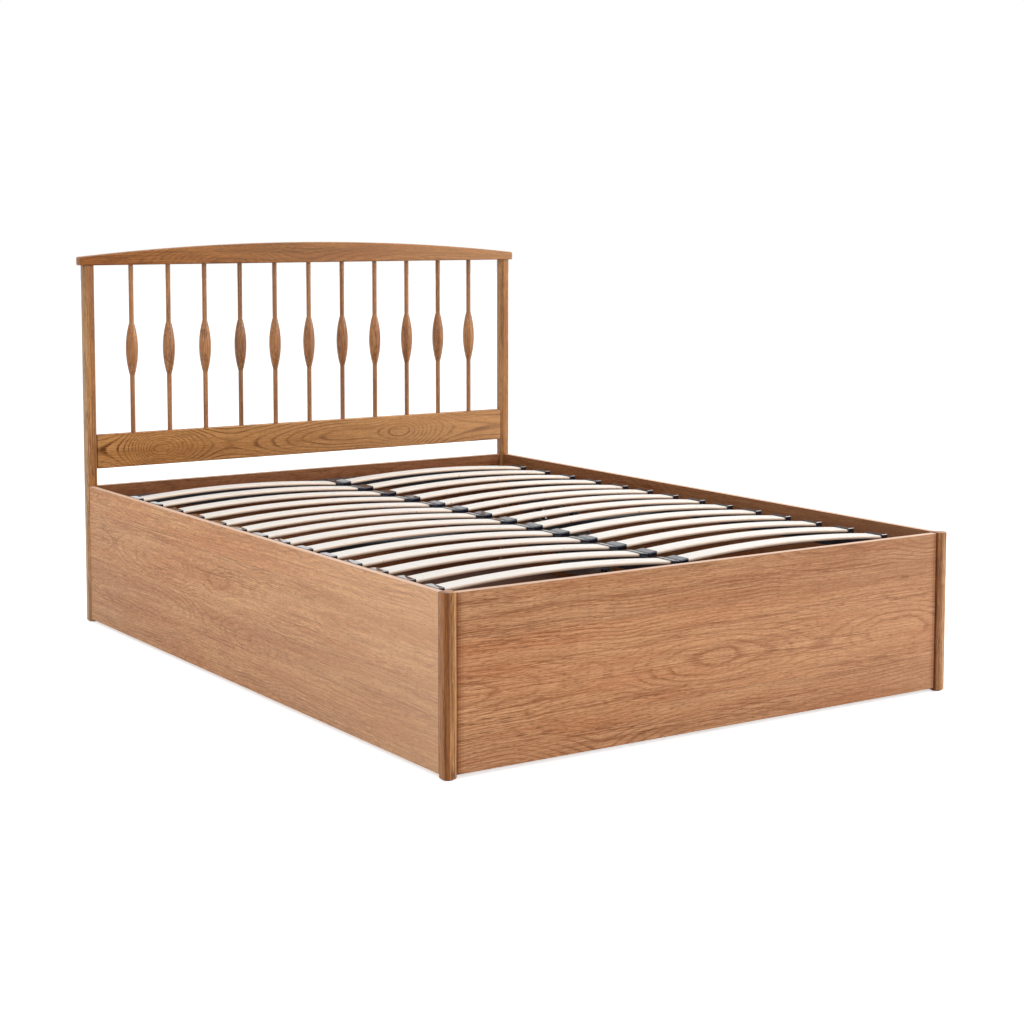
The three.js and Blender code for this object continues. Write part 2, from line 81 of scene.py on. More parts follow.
# Painted light and shade on the headboard posts: pale bluish reflections on the rounded edges, shade between
POST_LIGHT_AND_SHADE = (
    (0.69, 0.7055, (1.0, 1.12, 1.3)),
    (0.7055, 0.7205, (0.82, 0.77, 0.68)),
    (0.7275, 0.74, (1.12, 1.36, 1.75)),
)
SPINDLE_TONES = ((190, 134, 84), (100, 56, 26), (154, 94, 50))
FOOT_POST_TONES = ((206, 150, 96), (108, 62, 26), (172, 110, 58))
# Painted light and shade on the left foot post: a highlight on the edge by the foot panel, a lighter face,
# and painted shade on the corner that faces away from the lamps and on the outer face
FOOT_POST_LIGHT_AND_SHADE = (
    (0.7025, 0.7055, (1.4, 1.4, 1.4)),
    (0.7055, 0.7165, (1.12, 1.12, 1.1)),
    (0.7215, 0.7235, (0.85, 0.75, 0.65)),
    (0.7235, 0.7335, (0.5, 0.36, 0.2)),
    (0.7335, 0.74, (0.86, 0.74, 0.6)),
)
RIGHT_POST_TONES = ((192, 134, 84), (100, 58, 26), (156, 98, 54))
# Painted light and shade on the right foot post: painted shadow by the foot panel, painted highlights outside
RIGHT_POST_LIGHT_AND_SHADE = (
    (0.69, 0.7035, (0.45, 0.28, 0.16)),
    (0.7125, 0.7185, (1.2, 1.4, 1.7)),
    (0.7185, 0.74, (1.4, 1.8, 2.5)),
)
FOOT_TONES = ((212, 160, 116), (132, 72, 38), (186, 118, 76))
FOOT_LIGHT_FADE = (-0.3, 0.7, 0.25, (176, 138, 110))
# Painted shadow: the foot panel darkens in steps towards the posts, where they shade it
FOOT_SHADE_NEAR_POSTS = (
    (0.684, 0.72, (0.92, 0.89, 0.86)),
    (0.6905, 0.72, (0.82, 0.76, 0.72)),
    (0.6965, 0.72, (0.78, 0.7, 0.65)),
)
SIDE_TONES = ((224, 171, 122), (142, 84, 48), (196, 130, 84))
SIDE_LIGHT_FADE = (0.2, -1.0, 0.4, (214, 174, 142))
INNER_TINT = (0.5, 0.4, 0.35)
# The top edge band: partly a paler wood, and partly painted light, since the tops face the lamp above
LIT_EDGE_BAND = (214, 182, 158)
LIT_EDGE_BAND_DARK = (192, 154, 128)
SLAT_LIGHT = (216, 212, 206)
SLAT_DARK = (206, 198, 190)
SLAT_EDGE_WOOD_AND_FILL = (236, 208, 184)
SLAT_FLECK = (120, 88, 60)
FLOOR_BOARD_LIGHT = (104, 70, 54)
FLOOR_BOARD_DARK = (72, 46, 34)
SOFTWOOD_LIGHT = (206, 168, 118)
SOFTWOOD_DARK = (164, 116, 72)
BLACK_PLASTIC = (20, 22, 34)
BLACK_PAINT = (30, 31, 35)
ZINC = (176, 178, 182)
CHROME = (226, 227, 230)
GLIDE = (70, 62, 58)

# The oak: pitch of the growth rings, the share of a ring over which it darkens, width of a leaf of veneer,
# the shift of the noise between leaves, and how far the grain waves and wavers. Each spindle is one leaf.
RING_PITCH = 6.5 * MM
RING_RISE = 0.14
LEAF_WIDTH = 195 * MM
SPINDLE_PITCH = 116.8 * MM
LEAF_SHIFT = 37.0
WAVE = 7 * MM
WAVER = 0.8 * MM

# Figures of the two rails: the height of their middle, and the dips, each a place along the rail, a reach and
# a depth by which the rings are cut nearer to their centre
RAIL_CENTRE = 1.03
RAIL_DIPS = ((-0.3, 0.2, -56 * MM), (0.3, 0.34, -50 * MM))
LOWER_RAIL_CENTRE = 0.497
LOWER_RAIL_DIPS = (
    (-0.52, 0.08, -50 * MM), (-0.44, 0.11, -34 * MM), (0.335, 0.1, -33 * MM), (0.1, 0.3, -45 * MM),
)

# Marks of the oak: length along the grain, width, the two noise levels between which they come up, the offset
# that gives each kind a noise of its own, and the noise's detail. The slow and the quick depth vary how deep
# the rings are cut. Beds gather the lines and dashes, and clouds the rings.
WAVE_MARKS = (600 * MM, 110 * MM, 0.2, 0.8, 1.0, 2)
WAVER_MARKS = (110 * MM, 16 * MM, 0.2, 0.8, 2.0, 2)
SLOW_DEPTH = (520 * MM, 4.0, 0.25, 0.75, 3.0, 1)
QUICK_DEPTH = (190 * MM, 4.0, 0.3, 0.7, 13.0, 1)
FINE_LINES = (260 * MM, 1.7 * MM, 0.5, 0.6, 4.0, 1)
DASHES = (46 * MM, 2.6 * MM, 0.58, 0.66, 5.0, 2)
BEDS = (420 * MM, 34 * MM, 0.44, 0.6, 6.0, 2)
STREAKS = (700 * MM, 17 * MM, 0.44, 0.68, 7.0, 2)
FIBRE = (60 * MM, 1.2 * MM, 0.4, 0.64, 8.0, 1)
PORES = (16 * MM, 1.0 * MM, 0.54, 0.64, 9.0, 1)
FLECKS = (34 * MM, 2.6 * MM, 0.58, 0.7, 10.0, 1)
CLOUD = (380 * MM, 60 * MM, 0.45, 0.62, 11.0, 2)
BLUSH = (560 * MM, 46 * MM, 0.4, 0.64, 12.0, 2)

# How strongly the marks show in the oak's colour, gloss and relief, and how soft the painted zones' edges are
QUICK_SHARE = 0.4
BLUSH_SHARE = 0.55
FIBRE_SHARE = 0.34
PORE_SHARE = 0.5
FLECK_SHARE = 0.3
FAINT_LINES = 0.45
FAINT_FIGURE = 0.35
DEEP_TONE = 0.74
FLECK_TONE = 1.12
FIBRE_ROUGHNESS = 0.08
PORE_ROUGHNESS = 0.2
FIBRE_HEIGHT = 0.35
OAK_BUMP = 0.22
BUMP_DISTANCE = 0.2 * MM
ZONE_EDGE = 1.2 * MM
INNER_FACE_EDGE = 0.1 * MM

# The panels' inner faces, drawn darker: axis, distance from the middle and tint
FOOT_INNER_FACE = ("Y", 0.9764, INNER_TINT)
SIDE_INNER_FACE = ("X", 0.7144, INNER_TINT)
HEAD_INNER_FACE = ("Y", 0.9704, INNER_TINT)

# How finely the noise of slats and plain boards is drawn: along the grain, across it and into it for boards,
# and along X, Y and Z for slats
SLAT_STREAKS = (5, 260, 260)
SLAT_CLOUD = (3, 14, 1)
SLAT_FLECKS = (90, 500, 1)
BOARD_LINES = (1.4, 130, 130)
BOARD_FIBRE = (20, 900, 900)

# Plastic, paint and plating: how much a worn or clouded patch changes their colour
WORN_TONE = 1.7
CLOUDED_TONE = 0.86
ROLLING_SCALE = 40
COAT_BUMP_DISTANCE = 0.1 * MM


# Meshes

SMOOTH_ANGLE = math.radians(38)
BEVEL_STEPS = 3
ROUND_SIDES = 32
UP = Vector((0, 0, 1))
SIDES = {"left": -1, "right": 1}


def finish_mesh(name, verts, faces, material, body):
    mesh = bpy.data.meshes.new(name)
    mesh.from_pydata([tuple(v) for v in verts], [], faces)
    mesh.validate()
    tidy = bmesh.new()
    tidy.from_mesh(mesh)
    bmesh.ops.recalc_face_normals(tidy, faces=tidy.faces)
    tidy.to_mesh(mesh)
    tidy.free()
    mesh.shade_smooth()
    mesh.set_sharp_from_angle(angle=SMOOTH_ANGLE)
    piece = bpy.data.objects.new(name, mesh)
    bpy.context.scene.collection.objects.link(piece)
    mesh.materials.append(material)
    flat = piece.modifiers.new("flat faces stay flat", "WEIGHTED_NORMAL")
    flat.keep_sharp = True
    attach(piece, body)
    return piece


def loft(rings):
    """Vertices and faces of a closed body through rings of equal count, with flat ends."""
    count = len(rings[0])
    verts = [point for ring in rings for point in ring]
    faces = []
    for r in range(len(rings) - 1):
        for i in range(count):
            a = r * count + i
            b = r * count + (i + 1) % count
            faces.append((a, b, b + count, a + count))
    last = (len(rings) - 1) * count
    faces.append(tuple(reversed(range(count))))
    faces.append(tuple(range(last, last + count)))
    return verts, faces


def rounded_rectangle(width, height, radius, steps=4):
    """Points of a rounded rectangle round the origin, anticlockwise."""
    points = []
    for quarter in range(4):
        corner_x = (width / 2 - radius) * (1 if quarter in (0, 3) else -1)
        corner_y = (height / 2 - radius) * (1 if quarter in (0, 1) else -1)
        for step in range(steps + 1):
            angle = (quarter + step / steps) * math.pi / 2
            points.append((corner_x + radius * math.cos(angle), corner_y + radius * math.sin(angle)))
    return points


def circle(radius, sides):
    turns = [2 * math.pi * i / sides for i in range(sides)]
    return [(radius * math.cos(turn), radius * math.sin(turn)) for turn in turns]


def rounded_box(name, lo, hi, radius, material, body):
    """A box with all its edges rounded."""
    work = bmesh.new()
    bmesh.ops.create_cube(work, size=1)
    size = hi - lo
    middle = (lo + hi) / 2
    for vert in work.verts:
        vert.co = Vector((vert.co.x * size.x, vert.co.y * size.y, vert.co.z * size.z)) + middle
    bmesh.ops.bevel(
        work, geom=work.edges[:], offset=radius, segments=BEVEL_STEPS, profile=0.5, affect="EDGES"
    )
    verts = [vert.co.copy() for vert in work.verts]
    faces = [tuple(vert.index for vert in face.verts) for face in work.faces]
    work.free()
    return finish_mesh(name, verts, faces, material, body)


def turned(name, start, direction, profile, material, body, sides=ROUND_SIDES):
    """A body of revolution: profile holds (place along the direction, radius) pairs."""
    way = direction.normalized()
    side = way.orthogonal().normalized()
    up = way.cross(side)
    rings = [
        [start + way * place + side * x + up * y for x, y in circle(radius, sides)]
        for place, radius in profile
    ]
    verts, faces = loft(rings)
    return finish_mesh(name, verts, faces, material, body)


# Materials


def rgb(colour):
    """Scene-linear colour with alpha from red, green and blue out of 255."""
    shares = [channel / 255 for channel in colour]
    linear = [s / 12.92 if s <= 0.04045 else ((s + 0.055) / 1.055) ** 2.4 for s in shares]
    return (*linear, 1)


class Graph:
    """A material's nodes, with short calls that take sockets or plain values."""

    def __init__(self, name):
        self.material = bpy.data.materials.new(name)
        self.material.use_nodes = True
        self.tree = self.material.node_tree
        self.shader = self.tree.nodes["Principled BSDF"]

    def node(self, kind, inputs=(), **settings):
        made = self.tree.nodes.new(kind)
        for key, value in settings.items():
            setattr(made, key, value)
        for key, value in dict(inputs).items():
            self.feed(made.inputs[key], value)
        return made

    def feed(self, socket, value):
        if isinstance(value, bpy.types.NodeSocket):
            self.tree.links.new(value, socket)
        else:
            socket.default_value = value

    def math(self, operation, *values):
        return self.node("ShaderNodeMath", enumerate(values), operation=operation).outputs[0]

    def place(self):
        return self.node("ShaderNodeTexCoord").outputs["Object"]

    def split(self, vector):
        return self.node("ShaderNodeSeparateXYZ", {0: vector}).outputs

    def join(self, x, y, z):
        return self.node("ShaderNodeCombineXYZ", {0: x, 1: y, 2: z}).outputs[0]

    def stretch(self, parts, scales):
        return self.join(*(self.math("MULTIPLY", part, scale) for part, scale in zip(parts, scales)))

    def noise(self, vector, scale=1, detail=2, roughness=0.5):
        inputs = {"Vector": vector, "Scale": scale, "Detail": detail, "Roughness": roughness}
        return self.node("ShaderNodeTexNoise", inputs).outputs["Fac"]

    def remap(self, value, low, high, new_low=0, new_high=1):
        inputs = {"Value": value, "From Min": low, "From Max": high, "To Min": new_low, "To Max": new_high}
        return self.node("ShaderNodeMapRange", inputs, clamp=True).outputs["Result"]

    def mix(self, share, first, second, blend="MIX"):
        made = self.node("ShaderNodeMix", data_type="RGBA", blend_type=blend)
        for index, value in ((0, share), (6, first), (7, second)):
            self.feed(made.inputs[index], value)
        return made.outputs[2]

    def bump(self, height, strength, distance):
        inputs = {"Height": height, "Strength": strength, "Distance": distance}
        return self.node("ShaderNodeBump", inputs).outputs[0]

    def finish(self, colour, roughness, normal=None, **constants):
        self.feed(self.shader.inputs["Base Color"], colour)
        self.feed(self.shader.inputs["Roughness"], roughness)
        if normal is not None:
            self.feed(self.shader.inputs["Normal"], normal)
        for name, value in constants.items():
            self.shader.inputs[name.replace("_", " ")].default_value = value
        return self.material


def oak(
    name, grain, tones, leaf=LEAF_WIDTH, seed=0.0, drift=70 * MM, pith=60 * MM, swing=30 * MM, slant=0.0,
    dips=(), ring_pitch=RING_PITCH, ring_fall=0.5, figure=0.5, line_share=0.6, dash_share=0.6,
    streak_share=0.25, uneven=0.12, gloss=0.12, rough=0.36, light_fade=None, light_and_shade=(), inner_face=None,
):
    """Lacquered oak. grain names the axes along the grain, across the face and into it."""
    light, dark, red = tones
    deep = rgb([channel * DEEP_TONE for channel in dark])
    fleck_colour = rgb([min(255, channel * FLECK_TONE) for channel in light])
    light, dark, red = rgb(light), rgb(dark), rgb(red)
    g = Graph(name)
    axes = dict(zip("XYZ", g.split(g.place())))
    along, across, depth = (axes[axis] for axis in grain)

    # Leaves lie side by side, and each has its own luck
    leaf_number = g.math("FLOOR", g.math("ADD", g.math("DIVIDE", across, leaf), seed + 0.5))
    dice = g.node("ShaderNodeTexWhiteNoise", {"W": leaf_number}, noise_dimensions="1D")
    luck = g.split(dice.outputs["Color"])
    shift = g.math("MULTIPLY", luck[0], LEAF_SHIFT)

    def marks(kind, flow=across):
        length, width, low, high, offset, detail = kind
        place = g.join(
            g.math("ADD", g.math("DIVIDE", along, length), g.math("ADD", shift, offset)),
            g.math("DIVIDE", flow, width),
            g.math("DIVIDE", depth, width),
        )
        return g.remap(g.noise(place, 1, detail), low, high)

    # The grain runs straight but for a slow wave and a fine waver
    wave = g.math("MULTIPLY", marks(WAVE_MARKS), 2 * WAVE)
    waver = g.math("MULTIPLY", marks(WAVER_MARKS), 2 * WAVER)
    straight = g.math("ADD", g.math("ADD", across, wave), waver)

    # Growth rings are cut at a depth that varies along the grain, which draws nested arches and ovals
    from_leaf = g.math("SUBTRACT", across, g.math("MULTIPLY", g.math("SUBTRACT", leaf_number, seed), leaf))
    middle = g.math("MULTIPLY", g.math("SUBTRACT", luck[1], 0.5), drift)
    aside = g.math("SUBTRACT", g.math("ADD", from_leaf, g.math("SUBTRACT", wave, WAVE)), middle)
    aside = g.math("ADD", aside, g.math("MULTIPLY", depth, slant))
    below = g.math("ADD", g.math("MULTIPLY", marks(SLOW_DEPTH), swing * 2), pith - swing)
    below = g.math("ADD", below, g.math("MULTIPLY", marks(QUICK_DEPTH), swing * QUICK_SHARE))
    for dip_place, reach, dip_depth in dips:
        x = g.math("DIVIDE", g.math("SUBTRACT", along, dip_place), reach)
        dip = g.math("EXPONENT", g.math("MULTIPLY", g.math("MULTIPLY", x, x), -1.0))
        below = g.math("ADD", below, g.math("MULTIPLY", dip, dip_depth))
    arch = g.math("SQRT", g.math("ADD", g.math("MULTIPLY", aside, aside), g.math("MULTIPLY", below, below)))
    arch = g.math("ADD", arch, waver)
    turn = g.math("FRACT", g.math("DIVIDE", arch, ring_pitch))
    rings = g.math("MULTIPLY", g.remap(turn, 0, RING_RISE), g.remap(turn, RING_RISE, ring_fall, 1, 0))

    beds = marks(BEDS, straight)
    fine_lines = g.math("MULTIPLY", marks(FINE_LINES, straight), g.remap(beds, 0, 1, FAINT_LINES, 1))
    dashes = g.math("MULTIPLY", marks(DASHES, straight), beds)
    streaks = marks(STREAKS, straight)
    fibre = marks(FIBRE, straight)
    pores = marks(PORES, straight)
    figure_share = g.remap(marks(CLOUD), 0, 1, figure * FAINT_FIGURE, figure)

    colour = g.mix(g.math("MULTIPLY", fine_lines, line_share), light, dark)
    colour = g.mix(g.math("MULTIPLY", marks(BLUSH), BLUSH_SHARE), colour, red)
    colour = g.mix(g.math("MULTIPLY", streaks, streak_share), colour, dark)
    colour = g.mix(g.math("MULTIPLY", rings, figure_share), colour, dark)
    colour = g.mix(g.math("MULTIPLY", dashes, dash_share), colour, deep)
    colour = g.mix(g.math("MULTIPLY", fibre, FIBRE_SHARE), colour, dark)
    colour = g.mix(g.math("MULTIPLY", pores, PORE_SHARE), colour, deep)
    colour = g.mix(g.math("MULTIPLY", marks(FLECKS), FLECK_SHARE), colour, fleck_colour)
    # Painted light: the colour pales along the grain towards the better lit end
    if light_fade is not None:
        start, end, share, lit_colour = light_fade
        colour = g.mix(g.remap(along, start, end, 0, share), colour, rgb(lit_colour))
    tone = g.math("ADD", g.math("MULTIPLY", luck[2], uneven), 1 - uneven / 2)
    colour = g.mix(1.0, colour, g.join(tone, tone, tone), "MULTIPLY")
    # Painted light and shade: each zone multiplies the colour between two distances from the middle plane
    for inner, outer, tint in light_and_shade:
        place = g.math("ABSOLUTE", axes["X"])
        inside = g.math(
            "MULTIPLY",
            g.remap(place, inner - ZONE_EDGE, inner + ZONE_EDGE),
            g.remap(place, outer - ZONE_EDGE, outer + ZONE_EDGE, 1, 0),
        )
        colour = g.mix(inside, colour, g.mix(1.0, colour, (*tint, 1), "MULTIPLY"))
    if inner_face is not None:
        axis, plane, tint = inner_face
        place = g.math("ABSOLUTE", axes[axis])
        inside = g.remap(place, plane - INNER_FACE_EDGE, plane + INNER_FACE_EDGE, 1, 0)
        colour = g.mix(inside, colour, g.mix(1.0, colour, (*tint, 1), "MULTIPLY"))

    roughness = g.math("ADD", g.math("MULTIPLY", fibre, FIBRE_ROUGHNESS), rough)
    roughness = g.math("ADD", roughness, g.math("MULTIPLY", pores, PORE_ROUGHNESS))
    height = g.math("SUBTRACT", g.math("MULTIPLY", fibre, FIBRE_HEIGHT), pores)
    normal = g.bump(height, OAK_BUMP, BUMP_DISTANCE)
    return g.finish(colour, roughness, normal, Specular_IOR_Level=gloss)


def slat_foil(name):
    """Cream foil over bent plywood: faint streaks along the slat; tan rounded edges, partly wood, partly
    painted fill light.
    """
    g = Graph(name)
    axes = g.split(g.place())
    streak = g.remap(g.noise(g.stretch(axes, SLAT_STREAKS), 1, 3), 0.38, 0.66)
    cloud = g.noise(g.stretch(axes, SLAT_CLOUD), 1, 2)
    flecks = g.remap(g.noise(g.stretch(axes, SLAT_FLECKS), 1, 0), 0.8, 0.84)
    # Painted fill light: faces turned away from up, found by the normal, take a tan lighter than the top
    facing = g.split(g.node("ShaderNodeTexCoord").outputs["Normal"])[2]
    edge = g.remap(g.math("ABSOLUTE", facing), 0.35, 0.97, 1, 0)
    share = g.math("ADD", g.math("MULTIPLY", streak, 0.3), g.remap(cloud, 0.35, 0.7, 0, 0.3))
    colour = g.mix(share, rgb(SLAT_LIGHT), rgb(SLAT_DARK))
    colour = g.mix(g.math("MULTIPLY", edge, 0.95), colour, rgb(SLAT_EDGE_WOOD_AND_FILL))
    colour = g.mix(g.math("MULTIPLY", flecks, 0.55), colour, rgb(SLAT_FLECK))
    roughness = g.math("ADD", g.math("MULTIPLY", streak, 0.1), 0.38)
    normal = g.bump(streak, 0.12, BUMP_DISTANCE)
    return g.finish(colour, roughness, normal, Specular_IOR_Level=0.35)


def plain_wood(name, grain, light, dark):
    """Planed softwood or board, with straight grain."""
    g = Graph(name)
    axes = dict(zip("XYZ", g.split(g.place())))
    parts = [axes[axis] for axis in grain]
    lines = g.noise(g.stretch(parts, BOARD_LINES), 1, 3, 0.6)
    fibre = g.noise(g.stretch(parts, BOARD_FIBRE), 1, 2)
    colour = g.mix(g.remap(lines, 0.35, 0.68), rgb(light), rgb(dark))
    colour = g.mix(g.remap(fibre, 0.4, 0.7, 0, 0.3), colour, rgb(dark))
    roughness = g.math("ADD", g.math("MULTIPLY", fibre, 0.2), 0.5)
    return g.finish(colour, roughness, g.bump(fibre, 0.3, 0.3 * MM))


def black_coat(name, base, grain_scale, roughness, bump_strength, coat=0.0):
    """Moulded plastic or powder coat: a fine even texture and slight wear in the gloss."""
    g = Graph(name)
    place = g.place()
    grain = g.noise(place, grain_scale, 2)
    wear = g.noise(place, 24, 4, 0.6)
    worn = rgb([channel * WORN_TONE for channel in base])
    colour = g.mix(g.remap(wear, 0.35, 0.75, 0, 0.5), rgb(base), worn)
    rough = g.math("ADD", g.remap(wear, 0.3, 0.7, -0.02, 0.06), roughness)
    normal = g.bump(grain, bump_strength, COAT_BUMP_DISTANCE)
    return g.finish(colour, rough, normal, Coat_Weight=coat)


def plated(name, base, roughness, streak_scale):
    """Plated steel with faint rolling marks and cloudy patches."""
    g = Graph(name)
    place = g.place()
    marks = g.noise(g.stretch(g.split(place), (1, ROLLING_SCALE, streak_scale)), 1, 3)
    cloud = g.noise(place, 30, 3, 0.6)
    clouded = rgb([channel * CLOUDED_TONE for channel in base])
    colour = g.mix(g.remap(cloud, 0.35, 0.7, 0, 0.6), rgb(base), clouded)
    rough = g.math("ADD", g.remap(marks, 0.3, 0.7, -0.04, 0.08), roughness)
    return g.finish(colour, rough, g.bump(marks, 0.08, COAT_BUMP_DISTANCE), Metallic=1.0)


oak_rail = oak(
    "oak_rail", "XZY", RAIL_TONES, leaf=1.0, seed=-RAIL_CENTRE, drift=0.0, pith=100 * MM, swing=8 * MM,
    dips=RAIL_DIPS, ring_pitch=5 * MM, ring_fall=0.6, figure=0.66, streak_share=0.42, gloss=0.15, rough=0.3,
    light_fade=RAIL_LIGHT_FADE, light_and_shade=RAIL_END_HIGHLIGHT,
)
oak_lower_rail = oak(
    "oak_lower_rail", "XZY", LOWER_RAIL_TONES, leaf=1.0, seed=-LOWER_RAIL_CENTRE, drift=0.0, pith=85 * MM,
    swing=4 * MM, dips=LOWER_RAIL_DIPS, ring_pitch=6 * MM, ring_fall=0.4, figure=1.3, line_share=0.25,
    dash_share=0.2, streak_share=0.1, light_fade=LOWER_RAIL_LIGHT_FADE,
)
oak_post = oak(
    "oak_post", "ZXY", POST_TONES, leaf=2.0, seed=1.0, slant=0.6, line_share=0.8, streak_share=0.6,
    gloss=0.3, rough=0.22, light_and_shade=POST_LIGHT_AND_SHADE,
)
oak_spindle = oak(
    "oak_spindle", "ZXY", SPINDLE_TONES, leaf=SPINDLE_PITCH, slant=0.6, line_share=0.85, streak_share=0.45,
    uneven=0.32, gloss=0.4, rough=0.24,
)
oak_foot_post = oak(
    "oak_foot_post", "ZXY", FOOT_POST_TONES, leaf=2.0, seed=1.0, slant=0.6, line_share=1.0, dash_share=0.9,
    streak_share=0.7, gloss=0.2, rough=0.2, light_and_shade=FOOT_POST_LIGHT_AND_SHADE,
)
oak_right_post = oak(
    "oak_right_foot_post", "ZXY", RIGHT_POST_TONES, leaf=2.0, seed=2.0, slant=0.6, streak_share=0.6,
    gloss=0.2, rough=0.2, light_and_shade=RIGHT_POST_LIGHT_AND_SHADE,
)
oak_foot = oak(
    "oak_foot_panel", "XZY", FOOT_TONES, seed=7.0, ring_pitch=7 * MM, figure=0.66, streak_share=0.2,
    light_fade=FOOT_LIGHT_FADE, light_and_shade=FOOT_SHADE_NEAR_POSTS, inner_face=FOOT_INNER_FACE,
)
oak_side = oak(
    "oak_side_panel", "YZX", SIDE_TONES, leaf=130 * MM, seed=12.0, ring_pitch=6 * MM, figure=0.42,
    streak_share=0.16, uneven=0.2, light_fade=SIDE_LIGHT_FADE, inner_face=SIDE_INNER_FACE,
)
oak_head = oak("oak_head_panel", "XZY", FOOT_TONES, seed=5.0, inner_face=HEAD_INNER_FACE)
lit_edge_band_x = plain_wood("lit_edge_band_x", "XYZ", LIT_EDGE_BAND, LIT_EDGE_BAND_DARK)
lit_edge_band_y = plain_wood("lit_edge_band_y", "YXZ", LIT_EDGE_BAND, LIT_EDGE_BAND_DARK)
slat_skin = slat_foil("slat_foil")
floor_skin = plain_wood("floor_board_brown", "XYZ", FLOOR_BOARD_LIGHT, FLOOR_BOARD_DARK)
softwood_x = plain_wood("softwood_along_x", "XYZ", SOFTWOOD_LIGHT, SOFTWOOD_DARK)
softwood_y = plain_wood("softwood_along_y", "YXZ", SOFTWOOD_LIGHT, SOFTWOOD_DARK)
plastic = black_coat(
    "black_plastic", BLACK_PLASTIC, grain_scale=700, roughness=0.1, bump_strength=0.004, coat=0.2
)
side_plastic = black_coat(
    "side_holder_plastic", BLACK_PLASTIC, grain_scale=700, roughness=0.06, bump_strength=0.004, coat=1.0
)
paint = black_coat("black_powder_coat", BLACK_PAINT, grain_scale=900, roughness=0.32, bump_strength=0.05)
zinc = plated("zinc_plate", ZINC, roughness=0.34, streak_scale=600)
chrome = plated("polished_rod", CHROME, roughness=0.1, streak_scale=900)
glide_skin = black_coat("glide_felt", GLIDE, grain_scale=3000, roughness=0.85, bump_strength=0.6)


# Posts: rounded square with a floor glide, and a small round at the top of the foot posts

POST_RADIUS = 12 * MM
POST_CORNER_STEPS = 8
POST_CHAMFER = 3 * MM
POST_CHAMFER_BREAK = 0.8 * MM
POST_TOP_ROUND = 2 * MM
POST_TOP_STEPS = 3
GLIDE_HEIGHT = 2 * MM
GLIDE_RADIUS = 12 * MM
GLIDE_RIM = 0.6 * MM


def post(node, wood, round_top):
    lo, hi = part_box(node)
    middle = (lo + hi) / 2
    side = hi.x - lo.x

    def ring(z, inset):
        width = side - 2 * inset
        outline = rounded_rectangle(width, width, POST_RADIUS - inset, POST_CORNER_STEPS)
        return [Vector((middle.x + x, middle.y + y, z)) for x, y in outline]

    foot = lo.z + GLIDE_HEIGHT
    rings = [
        ring(foot, POST_CHAMFER),
        ring(foot + POST_CHAMFER_BREAK, POST_CHAMFER / 2),
        ring(foot + POST_CHAMFER, 0),
    ]
    if round_top:
        for step in range(POST_TOP_STEPS + 1):
            angle = step / POST_TOP_STEPS * math.pi / 2
            drop = POST_TOP_ROUND * (1 - math.sin(angle))
            rings.append(ring(hi.z - drop, POST_TOP_ROUND * (1 - math.cos(angle))))
    else:
        rings.append(ring(hi.z, 0))
    verts, faces = loft(rings)
    piece = finish_mesh(node + "_wood", verts, faces, wood, "base")
    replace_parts(piece, node)
    floor_point = Vector((middle.x, middle.y, lo.z))
    profile = [(0, GLIDE_RADIUS - GLIDE_RIM), (GLIDE_RIM, GLIDE_RADIUS), (GLIDE_HEIGHT, GLIDE_RADIUS)]
    turned(node + "_glide", floor_point, UP, profile, glide_skin, "base")


for side_name in SIDES:
    post("headboard_post_" + side_name, oak_post, False)
post("foot_post_left", oak_foot_post, True)
post("foot_post_right", oak_right_post, True)


# Headboard rails

TOP_RAIL_ROUND = 4 * MM
TOP_RAIL_END_HEIGHT = 24 * MM
TOP_RAIL_STEPS = 48
RAIL_CORNER = 9 * MM
RAIL_CORNER_STEPS = 6
LOWER_RAIL_ROUND = 2.5 * MM
BOARD_ROUND = 1.5 * MM


def top_rail():
    lo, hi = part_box("headboard_top_rail")
    half = (hi.x - lo.x) / 2
    rise = hi.z - lo.z - TOP_RAIL_END_HEIGHT
    radius = (half * half + rise * rise) / (2 * rise)
    middle_y = (lo.y + hi.y) / 2
    depth = hi.y - lo.y

    def ring(x, squeeze=0.0, drop=0.0):
        top = hi.z - radius + math.sqrt(radius * radius - x * x) - drop
        bottom = lo.z + drop
        outline = rounded_rectangle(depth - 2 * squeeze, top - bottom, TOP_RAIL_ROUND)
        centre_z = (top + bottom) / 2
        return [Vector((x, middle_y + y, centre_z + z)) for y, z in outline]

    ends = []
    for step in range(RAIL_CORNER_STEPS + 1):
        angle = step / RAIL_CORNER_STEPS * math.pi / 2
        inward = RAIL_CORNER * (1 - math.cos(angle))
        squeeze = RAIL_CORNER * (1 - math.sin(angle))
        rest = max(0.0, 1 - inward / TOP_RAIL_ROUND)
        ends.append((inward, squeeze, TOP_RAIL_ROUND * (1 - math.sqrt(1 - rest * rest))))
    straight = half - RAIL_CORNER
    rings = [ring(inward - half, squeeze, drop) for inward, squeeze, drop in ends]
    rings += [ring(-straight + 2 * straight * i / TOP_RAIL_STEPS) for i in range(1, TOP_RAIL_STEPS)]
    rings += [ring(half - inward, squeeze, drop) for inward, squeeze, drop in reversed(ends)]
    verts, faces = loft(rings)
    piece = finish_mesh("top_rail_wood", verts, faces, oak_rail, "base")
    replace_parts(piece, "headboard_top_rail")


top_rail()


def board(node, material, radius=BOARD_ROUND):
    lo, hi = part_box(node)
    piece = rounded_box(node + "_wood", lo, hi, radius, material, "base")
    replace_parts(piece, node)


board("headboard_lower_rail", oak_lower_rail, LOWER_RAIL_ROUND)


# Spindles

SPINDLE_COUNT = 11
SPINDLE_STEM = 7 * MM
SPINDLE_BULGE = 18 * MM
SPINDLE_BULGE_LENGTH = 156 * MM
SPINDLE_NECK = 6 * MM
BULGE_STEPS = 28


